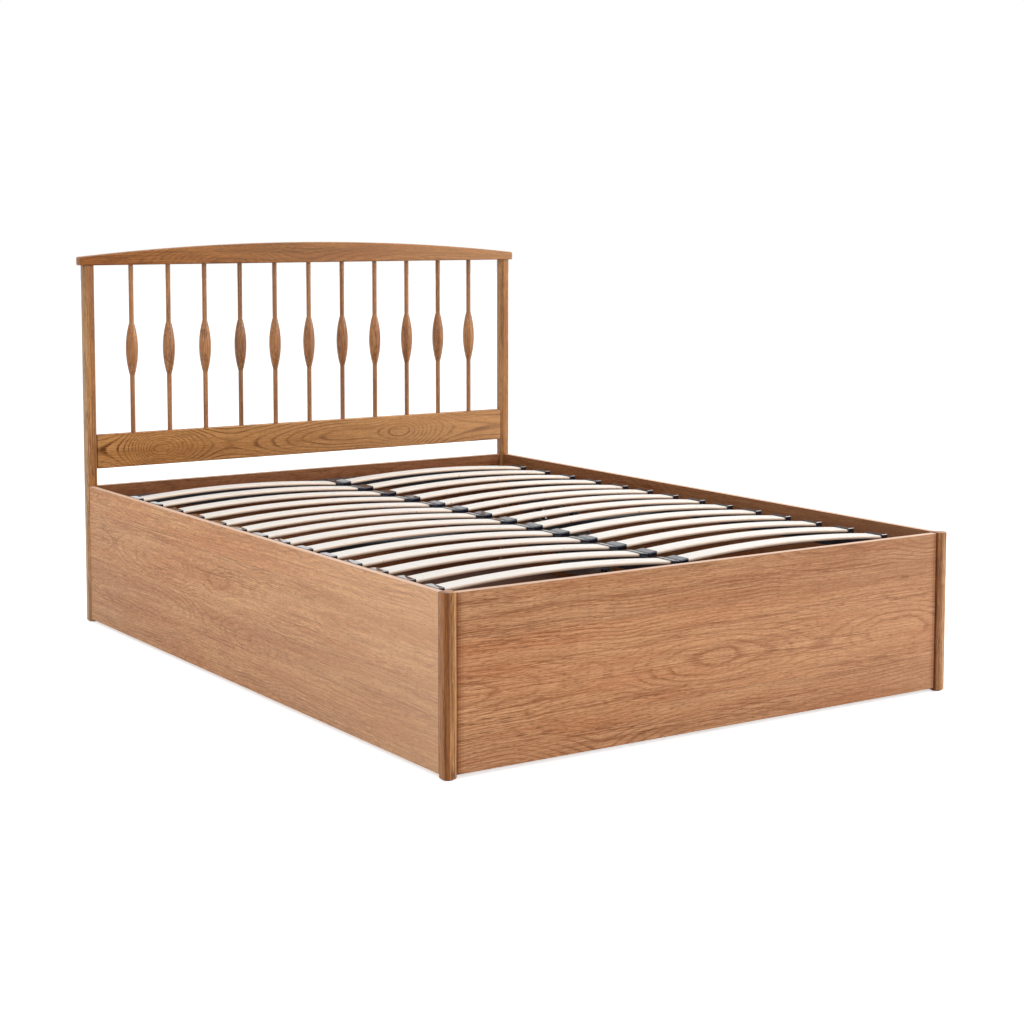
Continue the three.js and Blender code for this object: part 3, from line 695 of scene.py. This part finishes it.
def spindle(node):
    lo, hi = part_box(node)
    height = hi.z - lo.z
    profile = [(0, SPINDLE_STEM), (height / 2 - SPINDLE_BULGE_LENGTH / 2 - SPINDLE_NECK, SPINDLE_STEM)]
    for i in range(BULGE_STEPS + 1):
        share = 2 * i / BULGE_STEPS - 1
        radius = SPINDLE_STEM + (SPINDLE_BULGE - SPINDLE_STEM) * (1 - share * share)
        profile.append((height / 2 + share * SPINDLE_BULGE_LENGTH / 2, radius))
    profile.append((height / 2 + SPINDLE_BULGE_LENGTH / 2 + SPINDLE_NECK, SPINDLE_STEM))
    profile.append((height, SPINDLE_STEM))
    start = Vector(((lo.x + hi.x) / 2, (lo.y + hi.y) / 2, lo.z))
    piece = turned(node + "_wood", start, UP, profile, oak_spindle, "base")
    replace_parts(piece, node)


for number in range(1, SPINDLE_COUNT + 1):
    spindle(f"spindle_{number}")


# Panels with a paler band along their top edges, partly the edge's own tone and partly painted light from
# above, and the boards inside the box

BAND_THICKNESS = 1 * MM
PANEL_GAP = 1 * MM
PANEL_ROUND = 0.4 * MM
FLOOR_BOARD_ROUND = 0.5 * MM
BATTEN_ROUND = 2 * MM


def panel(node, wood, band):
    lo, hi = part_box(node)
    gap = Vector((PANEL_GAP, 0, 0)) if hi.x - lo.x > hi.y - lo.y else Vector((0, PANEL_GAP, 0))
    lo, hi = lo + gap, hi - gap
    seam = hi.z - BAND_THICKNESS
    piece = rounded_box(node + "_wood", lo, Vector((hi.x, hi.y, seam)), PANEL_ROUND, wood, "base")
    rounded_box(node + "_edge_band", Vector((lo.x, lo.y, seam)), hi, PANEL_ROUND, band, "base")
    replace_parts(piece, node)


for side_name in SIDES:
    panel("side_panel_" + side_name, oak_side, lit_edge_band_y)
panel("foot_panel", oak_foot, lit_edge_band_x)
panel("head_panel", oak_head, lit_edge_band_x)

for side_name in SIDES:
    board("floor_cleat_" + side_name, softwood_y)
board("floor_bearer", softwood_y)
board("floor_board_head", floor_skin, FLOOR_BOARD_ROUND)
board("floor_board_foot", floor_skin, FLOOR_BOARD_ROUND)
board("foot_rest_batten", softwood_x, BATTEN_ROUND)


# Platform tubes

TUBE_CORNER = 3 * MM
TUBE_WALL = 1.5 * MM
SIDE_TUBE_WIDTH = 25 * MM
TUBE_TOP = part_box("platform_centre_tube")[1].z
SOCKET_DEPTH = 12 * MM
END_PLUG_GAP = 1 * MM
END_PLUG_CORNER = 1 * MM
END_PLUG_INSET = 0.2 * MM
HEAD_PLUG_PLACES = (-25 * MM, 25 * MM, -125 * MM, 125 * MM)
HEAD_PLUG_PROFILE = ((0, 6 * MM), (1 * MM, 6 * MM), (1.7 * MM, 5 * MM), (2 * MM, 3 * MM))
HEAD_PLUG_SIDES = 20


def tube(name, lo, hi, axis, plugged=True):
    """A rectangular steel tube with round corners and, where its ends are open, a plastic plug in each."""
    middle = (lo + hi) / 2
    size = hi - lo
    width = size.y if axis == "X" else size.x
    bore_width = width - 2 * TUBE_WALL
    bore_height = size.z - 2 * TUBE_WALL
    outline = rounded_rectangle(width, size.z, TUBE_CORNER)
    inner = rounded_rectangle(bore_width, bore_height, TUBE_CORNER - TUBE_WALL)
    low, high = (lo.x, hi.x) if axis == "X" else (lo.y, hi.y)

    def ring(points, place):
        if axis == "X":
            return [Vector((place, middle.y + a, middle.z + b)) for a, b in points]
        return [Vector((middle.x + a, place, middle.z + b)) for a, b in points]

    rings = [ring(inner, low + SOCKET_DEPTH), ring(inner, low), ring(outline, low)]
    rings += [ring(outline, high), ring(inner, high), ring(inner, high - SOCKET_DEPTH)]
    verts, faces = loft(rings)
    piece = finish_mesh(name, verts, faces, paint, "platform")
    if plugged:
        plug = rounded_rectangle(bore_width - END_PLUG_GAP, bore_height - END_PLUG_GAP, END_PLUG_CORNER)
        for suffix, end, sign in (("_low_plug", low, 1), ("_high_plug", high, -1)):
            front = end + sign * END_PLUG_INSET
            back = end + sign * (SOCKET_DEPTH - END_PLUG_GAP)
            verts, faces = loft([ring(plug, front), ring(plug, back)])
            finish_mesh(name + suffix, verts, faces, plastic, "platform")
    return piece


for node, axis in (
    ("platform_head_tube", "X"),
    ("platform_foot_tube", "X"),
    ("platform_centre_tube", "Y"),
    ("platform_cross_tube", "X"),
):
    lo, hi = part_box(node)
    hi.z = min(hi.z, TUBE_TOP)
    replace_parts(tube(node + "_steel", lo, hi, axis, node == "platform_cross_tube"), node)

lo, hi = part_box("platform_head_tube")
for number, place in enumerate(HEAD_PLUG_PLACES, 1):
    seat = Vector((place, (lo.y + hi.y) / 2, TUBE_TOP))
    turned(
        f"head_tube_plug_{number}", seat, UP, HEAD_PLUG_PROFILE, plastic, "platform",
        HEAD_PLUG_SIDES,
    )

for side_name, sign in SIDES.items():
    node = "platform_side_tube_" + side_name
    lo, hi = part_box(node)
    outer = max(abs(lo.x), abs(hi.x))
    low_x, high_x = sorted((sign * outer, sign * (outer - SIDE_TUBE_WIDTH)))
    piece = tube(node + "_steel", Vector((low_x, lo.y, lo.z)), Vector((high_x, hi.y, TUBE_TOP)), "Y")
    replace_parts(piece, node)


# Slats and their holders

SLAT_ROWS = 14
SLAT_WIDTH = 53 * MM
SLAT_THICKNESS = 8 * MM
SLAT_EDGE_FLAT = 0.3 * MM
SLAT_EDGE_STEPS = 6
SLAT_LIFT = 1.5 * MM
SLAT_GRIP = 11 * MM
SLAT_STEPS = 26
CAP_WIDTH = 58 * MM
CAP_LENGTH = 20 * MM
CAP_POCKET_END = 8 * MM
CAP_WALL = 2 * MM
CAP_LIP = 0.8 * MM
CAP_ROUND = 2.5 * MM
CAP_CORNER_STEPS = 3
CAP_BACK_SLOPE = 2 * MM
CAP_BACK_STEP = 0.6 * MM
POCKET_ROUND = 1 * MM
MOUTH_ROUND = 1.4 * MM
CENTRE_CAP_HALF = 26 * MM
CENTRE_CAP_WEB = 9 * MM
CENTRE_CAP_SAG = 3 * MM
GROOVE_HALF = 2 * MM
GROOVE_DEPTH = 1.6 * MM
GROOVE_SLOPE = 0.4 * MM
RIB_PLACE = -8 * MM
RIB_HALF = 0.7 * MM
RIB_HEIGHT = 0.5 * MM
RIB_SLOPE = 0.3 * MM
RIB_FOOT = 6 * MM

platform_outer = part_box("platform_side_tube_right")[1].x
cap_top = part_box("platform_side_tube_right")[1].z


def slat(name, row_lo, row_hi, sign):
    """One sprung slat: a bullnosed strip bent to a parabola between the centre and the side holder."""
    near, far = SLAT_GRIP, row_hi.x
    rise = row_hi.z - TUBE_TOP - SLAT_LIFT - SLAT_THICKNESS
    middle_y = (row_lo.y + row_hi.y) / 2
    edge_radius = SLAT_THICKNESS / 2 - SLAT_EDGE_FLAT
    section = rounded_rectangle(SLAT_WIDTH, SLAT_THICKNESS, edge_radius, SLAT_EDGE_STEPS)
    rings = []
    for i in range(SLAT_STEPS + 1):
        share = i / SLAT_STEPS
        x = near + (far - near) * share
        slope = 4 * rise * (1 - 2 * share) / (far - near)
        z = TUBE_TOP + SLAT_LIFT + SLAT_THICKNESS / 2 + 4 * rise * share * (1 - share)
        lean = math.atan(slope)
        rings.append([
            Vector((sign * (x - b * math.sin(lean)), middle_y + a, z + b * math.cos(lean)))
            for a, b in section
        ])
    verts, faces = loft(rings)
    return finish_mesh(name, verts, faces, slat_skin, "platform")


def cap_ring(x, y, width, bottom, top, radius):
    outline = rounded_rectangle(width, top - bottom, radius, CAP_CORNER_STEPS)
    centre = (top + bottom) / 2
    return [Vector((x, y + a, centre + b)) for a, b in outline]


def side_cap(name, y, sign):
    """A moulded holder whose pocket opens towards the middle of the bed."""
    mouth = platform_outer - CAP_LENGTH
    back = platform_outer - CAP_POCKET_END

    def ring(x, inset, radius=CAP_ROUND):
        return cap_ring(sign * x, y, CAP_WIDTH - 2 * inset, TUBE_TOP + inset / 2, cap_top - inset, radius)

    verts, faces = loft([
        ring(back, CAP_WALL, POCKET_ROUND),
        ring(mouth + CAP_LIP, CAP_WALL, POCKET_ROUND),
        ring(mouth, CAP_WALL - CAP_LIP, MOUTH_ROUND),
        ring(mouth, CAP_LIP),
        ring(mouth + CAP_LIP, 0),
        ring(platform_outer - CAP_BACK_SLOPE, 0),
        ring(platform_outer - CAP_BACK_STEP, CAP_BACK_STEP),
        ring(platform_outer, CAP_BACK_SLOPE),
    ])
    finish_mesh(name, verts, faces, side_plastic, "platform")


def centre_cap(name, y):
    """The double holder on the centre tube: two pockets, a grooved web between them, and a rib on the top."""
    half = CENTRE_CAP_HALF

    def top_at(x):
        return cap_top - RIB_HEIGHT - CENTRE_CAP_SAG * (1 - abs(x) / half)

    def ring(x, inset, radius=CAP_ROUND):
        return cap_ring(x, y, CAP_WIDTH - 2 * inset, TUBE_TOP + inset / 2, top_at(x) - inset, radius)

    def waist(x, drop):
        return cap_ring(x, y, CAP_WIDTH - 2 * drop, TUBE_TOP, top_at(x) - drop, CAP_ROUND)

    def one_side(sign):
        return [
            ring(sign * CENTRE_CAP_WEB, CAP_WALL, POCKET_ROUND),
            ring(sign * (half - CAP_LIP), CAP_WALL, POCKET_ROUND),
            ring(sign * half, CAP_WALL - CAP_LIP, MOUTH_ROUND),
            ring(sign * half, CAP_LIP),
            ring(sign * (half - CAP_LIP), 0),
            waist(sign * GROOVE_HALF, 0),
            waist(sign * (GROOVE_HALF - GROOVE_SLOPE), GROOVE_DEPTH),
        ]

    verts, faces = loft(one_side(1) + one_side(-1)[::-1])
    finish_mesh(name, verts, faces, plastic, "platform")
    rib_top = top_at(RIB_PLACE) + RIB_HEIGHT
    rib_flat = RIB_HALF - RIB_SLOPE
    rib = [
        cap_ring(RIB_PLACE + x, y, CAP_WIDTH, TUBE_TOP + RIB_FOOT, rib_top - drop, CAP_ROUND)
        for x, drop in ((-RIB_HALF, RIB_SLOPE), (-rib_flat, 0), (rib_flat, 0), (RIB_HALF, RIB_SLOPE))
    ]
    verts, faces = loft(rib)
    finish_mesh(name + "_rib", verts, faces, plastic, "platform")


for row in range(1, SLAT_ROWS + 1):
    node = f"slat_row_{row}"
    lo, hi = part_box(node)
    middle_y = (lo.y + hi.y) / 2
    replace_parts(slat(f"slat_{row}_right", lo, hi, 1), node)
    slat(f"slat_{row}_left", lo, hi, -1)
    centre_cap(f"slat_{row}_centre_holder", middle_y)
    side_cap(f"slat_{row}_left_holder", middle_y, -1)
    side_cap(f"slat_{row}_right_holder", middle_y, 1)


# Lift linkage: the CAD plates stay, with their edges eased

OUTWARD = {name: Vector((sign, 0, 0)) for name, sign in SIDES.items()}
JOINTS = {joint["name"]: Vector(joint["pos_m"]) for joint in frame["record"]["behaviour"]["joints"]}
EASE_WIDTH = 0.6 * MM
EASE_STEPS = 2
EASE_ANGLE = math.radians(40)
PIN_RADIUS = 6 * MM
PIN_PLAY = 0.1 * MM
HEAD_SIDES = 24


def ease(node, material):
    piece = frame["nodes"][node]
    piece.data.materials.clear()
    piece.data.materials.append(material)
    modifier = piece.modifiers.new("eased edges", "BEVEL")
    modifier.width = EASE_WIDTH
    modifier.segments = EASE_STEPS
    modifier.limit_method = "ANGLE"
    modifier.angle_limit = EASE_ANGLE
    modifier.harden_normals = True


def lane(node):
    """The nearest and farthest distance of a node from the middle plane."""
    lo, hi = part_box(node + "_right")
    return lo.x, hi.x


def hoop(name, centre, direction, section, material, body):
    """A ring round an axis: section holds (place along the axis, radius) pairs of a closed outline."""
    way = direction.normalized()
    side = way.orthogonal().normalized()
    up = way.cross(side)
    verts = []
    for place, radius in section:
        verts += [centre + way * place + side * x + up * y for x, y in circle(radius, ROUND_SIDES)]
    faces = []
    count = len(section)
    for r in range(count):
        this, following = r * ROUND_SIDES, (r + 1) % count * ROUND_SIDES
        for i in range(ROUND_SIDES):
            j = (i + 1) % ROUND_SIDES
            faces.append((this + i, this + j, following + j, following + i))
    return finish_mesh(name, verts, faces, material, body)


def collar_section(low, high, inner, outer, ease_width=0.5 * MM):
    return [
        (low, inner), (low, outer - ease_width), (low + ease_width, outer),
        (high - ease_width, outer), (high, outer - ease_width), (high, inner),
    ]


def washer(name, point, side_name, low, high, outer, body):
    """A washer, clip or sleeve on a pin, between two distances from the middle plane."""
    centre = Vector((0, point.y, point.z))
    section = collar_section(low, high, PIN_RADIUS + PIN_PLAY, outer)
    skin, slot = (plastic, "black_steel") if name.endswith("sleeve") else (zinc, "zinc_steel")
    hoop(f"{name}_{side_name}", centre, OUTWARD[side_name], section, skin, body)


def dome_head(name, place, direction, radius, height, body):
    """A domed screw head with a round socket."""
    socket = radius * 0.42
    depth = height * 0.6
    profile = [
        (0, radius), (height * 0.35, radius), (height * 0.7, radius * 0.86), (height * 0.95, radius * 0.6),
        (height, socket * 1.15), (height, socket), (height - depth, socket * 0.9),
    ]
    turned(name, place, direction, profile, zinc, body, HEAD_SIDES)


def point_at(reach, height):
    """A point of the side view: reach from the headboard's lower rail and height, in millimetres."""
    headboard_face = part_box("headboard_lower_rail")[0].y
    return Vector((0, headboard_face - reach * MM, height * MM))


LONG_ARM_BASE = JOINTS["long_arm_pivot"]
LONG_ARM_TOP = JOINTS["platform_lift"]
SHORT_ARM_BASE = JOINTS["short_arm_pivot"]
SHORT_ARM_TOP = point_at(168, 290)
STRUT_BASE = JOINTS["strut_base_pivot"]
STRUT_TOP = JOINTS["strut_top_pivot"]
BOLT_REACHES = (84, 300)

# Distances from the middle plane at which the plates, arms and struts begin and end
PLATE_THICKNESS = 4 * MM
ARM_THICKNESS = 5 * MM
LANE_GAP = 2 * MM
EYE_HALF = 5 * MM
long_near, long_far = lane("lift_long_arm")
panel_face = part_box("side_panel_right")[0].x
plate_near = panel_face - PLATE_THICKNESS
short_near = long_far + LANE_GAP
short_far = short_near + ARM_THICKNESS
bracket_far = long_near - 2 * LANE_GAP
strut_lo, strut_hi = lane("strut_cylinder")
strut_middle = (strut_lo + strut_hi) / 2
eye_near = strut_middle - EYE_HALF
eye_far = strut_middle + EYE_HALF

CLIP = 1 * MM
PIN_GAP = 0.2 * MM
WASHER = 9.5 * MM
EYE_WASHER = 9 * MM
BASE_SLEEVE = 8.5 * MM
TOP_SLEEVE = 8 * MM
SCREW_HEAD = (6.5 * MM, 3 * MM)
BOLT_HEAD = (7.5 * MM, 2.6 * MM)


def pins(side_name):
    """What sits on the pins: name, pin, nearest and farthest distance from the middle, radius and body."""
    gap, half_gap = PIN_GAP, PIN_GAP / 2
    rows = (
        ("long_arm_base_sleeve", LONG_ARM_BASE, long_far + gap, plate_near, BASE_SLEEVE, "base"),
        ("long_arm_base_clip", LONG_ARM_BASE, long_near - CLIP, long_near - half_gap, WASHER, "base"),
        ("short_arm_base_sleeve", SHORT_ARM_BASE, short_far + gap, plate_near, BASE_SLEEVE, "base"),
        ("short_arm_base_clip", SHORT_ARM_BASE, short_near - CLIP, short_near - half_gap, WASHER, "base"),
        ("strut_base_washer", STRUT_BASE, eye_far + gap, plate_near, EYE_WASHER, "base"),
        ("strut_base_clip", STRUT_BASE, eye_near - CLIP, eye_near - half_gap, EYE_WASHER, "base"),
        ("long_arm_top_washer", LONG_ARM_TOP, bracket_far, long_near - gap, WASHER, "platform"),
        ("long_arm_top_clip", LONG_ARM_TOP, long_far + half_gap, long_far + CLIP, WASHER, "platform"),
        ("short_arm_top_sleeve", SHORT_ARM_TOP, bracket_far, short_near - gap, TOP_SLEEVE, "platform"),
        ("short_arm_top_clip", SHORT_ARM_TOP, short_far + half_gap, short_far + CLIP, WASHER, "platform"),
        ("strut_top_washer", STRUT_TOP, short_far, eye_near - gap, EYE_WASHER, "short_arms"),
        ("strut_top_clip", STRUT_TOP, eye_far + half_gap, eye_far + CLIP, EYE_WASHER, "short_arms"),
    )
    for name, point, low, high, radius, body in rows:
        washer(name, point, side_name, low, high, radius, body)


def screws(side_name):
    outward = OUTWARD[side_name]
    sign = outward.x
    corners = (LONG_ARM_BASE, SHORT_ARM_BASE, STRUT_BASE)
    for number, corner in enumerate(corners, 1):
        middle = (corner + corners[number % len(corners)]) / 2
        place = Vector((sign * plate_near, middle.y, middle.z))
        dome_head(f"base_plate_screw_{number}_{side_name}", place, -outward, *SCREW_HEAD, "base")
    tube_lo, tube_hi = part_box("platform_centre_tube")
    for number, reach in enumerate(BOLT_REACHES, 1):
        place = Vector((sign * bracket_far, point_at(reach, 0).y, (tube_lo.z + tube_hi.z) / 2))
        dome_head(f"bracket_bolt_{number}_{side_name}", place, outward, *BOLT_HEAD, "platform")


STRUT_RADIUS = 10 * MM
STRUT_ROD_RADIUS = 4.5 * MM
STRUT_EYE_RADIUS = 11 * MM
STRUT_EYE_BORE = PIN_RADIUS + 0.5 * MM
STRUT_EYE_EASE = 1.2 * MM
STRUT_BORE_RADIUS = STRUT_ROD_RADIUS + 0.3 * MM
STRUT_TUBE_START = 16 * MM
STRUT_TUBE_END = 164 * MM


def strut(side_name):
    """A gas strut: a painted cylinder with a rolled groove, and a polished rod, each with an eye."""
    outward = OUTWARD[side_name]
    base = Vector((outward.x * strut_middle, STRUT_BASE.y, STRUT_BASE.z))
    top = Vector((outward.x * strut_middle, STRUT_TOP.y, STRUT_TOP.z))
    way = (top - base).normalized()
    neck = (top - base).length - STRUT_EYE_RADIUS
    eye_section = collar_section(-EYE_HALF, EYE_HALF, STRUT_EYE_BORE, STRUT_EYE_RADIUS, STRUT_EYE_EASE)
    # Profiles hold places along the strut, from its lower pin, and radii
    cylinder_profile = [
        (STRUT_EYE_RADIUS - 1.5 * MM, STRUT_ROD_RADIUS),
        (STRUT_TUBE_START - 1 * MM, STRUT_ROD_RADIUS),
        (STRUT_TUBE_START, STRUT_RADIUS - 2.4 * MM),
        (STRUT_TUBE_START + 1 * MM, STRUT_RADIUS - 0.8 * MM),
        (STRUT_TUBE_START + 3 * MM, STRUT_RADIUS),
        (STRUT_TUBE_END - 16 * MM, STRUT_RADIUS),
        (STRUT_TUBE_END - 15 * MM, STRUT_RADIUS - 0.7 * MM),
        (STRUT_TUBE_END - 14 * MM, STRUT_RADIUS),
        (STRUT_TUBE_END - 3 * MM, STRUT_RADIUS),
        (STRUT_TUBE_END - 1 * MM, STRUT_RADIUS - 1.2 * MM),
        (STRUT_TUBE_END, STRUT_RADIUS - 3 * MM),
        (STRUT_TUBE_END, STRUT_BORE_RADIUS),
        (STRUT_TUBE_START + 30 * MM, STRUT_BORE_RADIUS),
    ]
    name = f"strut_{side_name}_"
    cylinder = turned(name + "tube", base, way, cylinder_profile, paint, "strut_cylinders")
    hoop(name + "base_eye", base, outward, eye_section, zinc, "strut_cylinders")
    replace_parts(cylinder, "strut_cylinder_" + side_name)
    rod_profile = [
        (STRUT_TUBE_START + 36 * MM, STRUT_ROD_RADIUS - 0.5 * MM),
        (STRUT_TUBE_START + 37 * MM, STRUT_ROD_RADIUS),
        (neck - 8 * MM, STRUT_ROD_RADIUS),
    ]
    rod = turned(name + "rod", base, way, rod_profile, chrome, "strut_rods")
    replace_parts(rod, "strut_rod_" + side_name)
    socket_profile = [
        (neck - 9 * MM, STRUT_ROD_RADIUS + 0.6 * MM),
        (neck - 8 * MM, STRUT_ROD_RADIUS + 1.6 * MM),
        (neck - 1 * MM, STRUT_ROD_RADIUS + 1.6 * MM),
        (neck + 1.5 * MM, STRUT_ROD_RADIUS),
    ]
    turned(name + "rod_socket", base, way, socket_profile, zinc, "strut_rods")
    hoop(name + "top_eye", top, outward, eye_section, zinc, "strut_rods")


for side_name in SIDES:
    for node in ("lift_base_plate_", "lift_long_arm_", "lift_short_arm_", "platform_bracket_"):
        ease(node + side_name, zinc)
    pins(side_name)
    screws(side_name)
    strut(side_name)


# Covers of the panels' joint fittings, on the inner faces near the posts

COVER_RADIUS = 8 * MM
COVER_PROFILE = ((0, COVER_RADIUS), (0.7 * MM, COVER_RADIUS), (1.1 * MM, COVER_RADIUS - 0.6 * MM))
COVER_HEIGHTS = (70 * MM, 240 * MM)
COVER_INSET = 34 * MM


def covers(name, columns, way):
    """Covers on a panel's inner face, in two columns at the same heights."""
    places = [Vector((x, y, z)) for x, y in columns for z in COVER_HEIGHTS]
    for number, place in enumerate(places, 1):
        turned(f"joint_cover_{name}_{number}", place, way, COVER_PROFILE, plastic, "base")


for side_name, outward in OUTWARD.items():
    lo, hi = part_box("side_panel_" + side_name)
    face = outward.x * panel_face
    covers(side_name, ((face, lo.y + COVER_INSET), (face, hi.y - COVER_INSET)), -outward)
for node, edge, way in (("foot_panel", 1, Vector((0, 1, 0))), ("head_panel", 0, Vector((0, -1, 0)))):
    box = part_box(node)
    face = box[edge].y
    covers(node, ((box[0].x + 2 * COVER_INSET, face), (box[1].x - 2 * COVER_INSET, face)), way)


# Stage, light and camera

FLOOR_SIZE = 60
FLOOR_COLOUR = (240, 240, 240)
FLOOR_ROUGHNESS = 0.9
FLOOR_GLOW = 0.62
WHITE = (1, 1, 1, 1)
WORLD_STRENGTH = 0.58
SEEN_WORLD_STRENGTH = 1

# Lamps: name, place, what it is aimed at, side in metres and power in watts
LAMPS = (
    ("key_left", (-4.6, -1.9, 2.4), (0, -0.4, 0.4), 2.6, 40),
    ("key_right", (3.2, -4.2, 2.2), (0.2, -0.6, 0.3), 2.6, 76),
    ("headboard_right", (2.8, -0.5, 2.2), (0.5, 0.9, 0.8), 1.4, 49),
    ("top", (0, 0.2, 4.2), (0, 0, 0.3), 3.2, 96),
)


def floor():
    mesh = bpy.data.meshes.new("floor")
    half = FLOOR_SIZE / 2
    corners = [(-half, -half, 0), (half, -half, 0), (half, half, 0), (-half, half, 0)]
    mesh.from_pydata(corners, [], [(0, 1, 2, 3)])
    plane = bpy.data.objects.new("floor", mesh)
    bpy.context.scene.collection.objects.link(plane)
    g = Graph("floor_white")
    g.finish(rgb(FLOOR_COLOUR), FLOOR_ROUGHNESS)
    path = g.node("ShaderNodeLightPath").outputs
    reflected = g.math("MAXIMUM", path["Is Glossy Ray"], path["Is Transmission Ray"])
    seen = g.math("MAXIMUM", path["Is Camera Ray"], reflected)
    g.shader.inputs["Emission Color"].default_value = WHITE
    g.feed(g.shader.inputs["Emission Strength"], g.math("MULTIPLY", seen, FLOOR_GLOW))
    mesh.materials.append(g.material)


def world():
    made = bpy.data.worlds.new("studio")
    made.use_nodes = True
    bpy.context.scene.world = made
    tree = made.node_tree
    tree.nodes.clear()

    def background(strength):
        node = tree.nodes.new("ShaderNodeBackground")
        node.inputs["Color"].default_value = WHITE
        node.inputs["Strength"].default_value = strength
        return node.outputs[0]

    def larger(first, second):
        node = tree.nodes.new("ShaderNodeMath")
        node.operation = "MAXIMUM"
        tree.links.new(first, node.inputs[0])
        tree.links.new(second, node.inputs[1])
        return node.outputs[0]

    path = tree.nodes.new("ShaderNodeLightPath").outputs
    reflected = larger(path["Is Glossy Ray"], path["Is Transmission Ray"])
    mixed = tree.nodes.new("ShaderNodeMixShader")
    tree.links.new(larger(path["Is Camera Ray"], reflected), mixed.inputs[0])
    tree.links.new(background(WORLD_STRENGTH), mixed.inputs[1])
    tree.links.new(background(SEEN_WORLD_STRENGTH), mixed.inputs[2])
    output = tree.nodes.new("ShaderNodeOutputWorld")
    tree.links.new(mixed.outputs[0], output.inputs[0])


def lamp(name, place, target, size, power):
    data = bpy.data.lights.new(name, "AREA")
    data.shape = "SQUARE"
    data.size = size
    data.energy = power
    made = bpy.data.objects.new(name, data)
    bpy.context.scene.collection.objects.link(made)
    made.location = place
    made.rotation_euler = (Vector(target) - Vector(place)).to_track_quat("-Z", "Y").to_euler()


def camera():
    data = bpy.data.cameras.new("camera")
    made = bpy.data.objects.new("camera", data)
    bpy.context.scene.collection.objects.link(made)
    data.sensor_width = SENSOR_WIDTH
    data.lens = FOCAL_PIXELS / PICTURE_WIDTH * SENSOR_WIDTH
    data.shift_x = (PICTURE_WIDTH / 2 - CENTRE_PIXEL[0]) / PICTURE_WIDTH
    data.shift_y = (CENTRE_PIXEL[1] - PICTURE_WIDTH / 2) / PICTURE_WIDTH
    made.location = CAMERA_PLACE
    forward = Vector((
        math.sin(CAMERA_YAW) * math.cos(CAMERA_PITCH),
        math.cos(CAMERA_YAW) * math.cos(CAMERA_PITCH),
        math.sin(CAMERA_PITCH),
    ))
    made.rotation_euler = forward.to_track_quat("-Z", "Y").to_euler()
    bpy.context.scene.camera = made


floor()
world()
for name, place, target, size, power in LAMPS:
    lamp(name, place, target, size, power)
camera()
bpy.context.scene.view_settings.view_transform = "Standard"
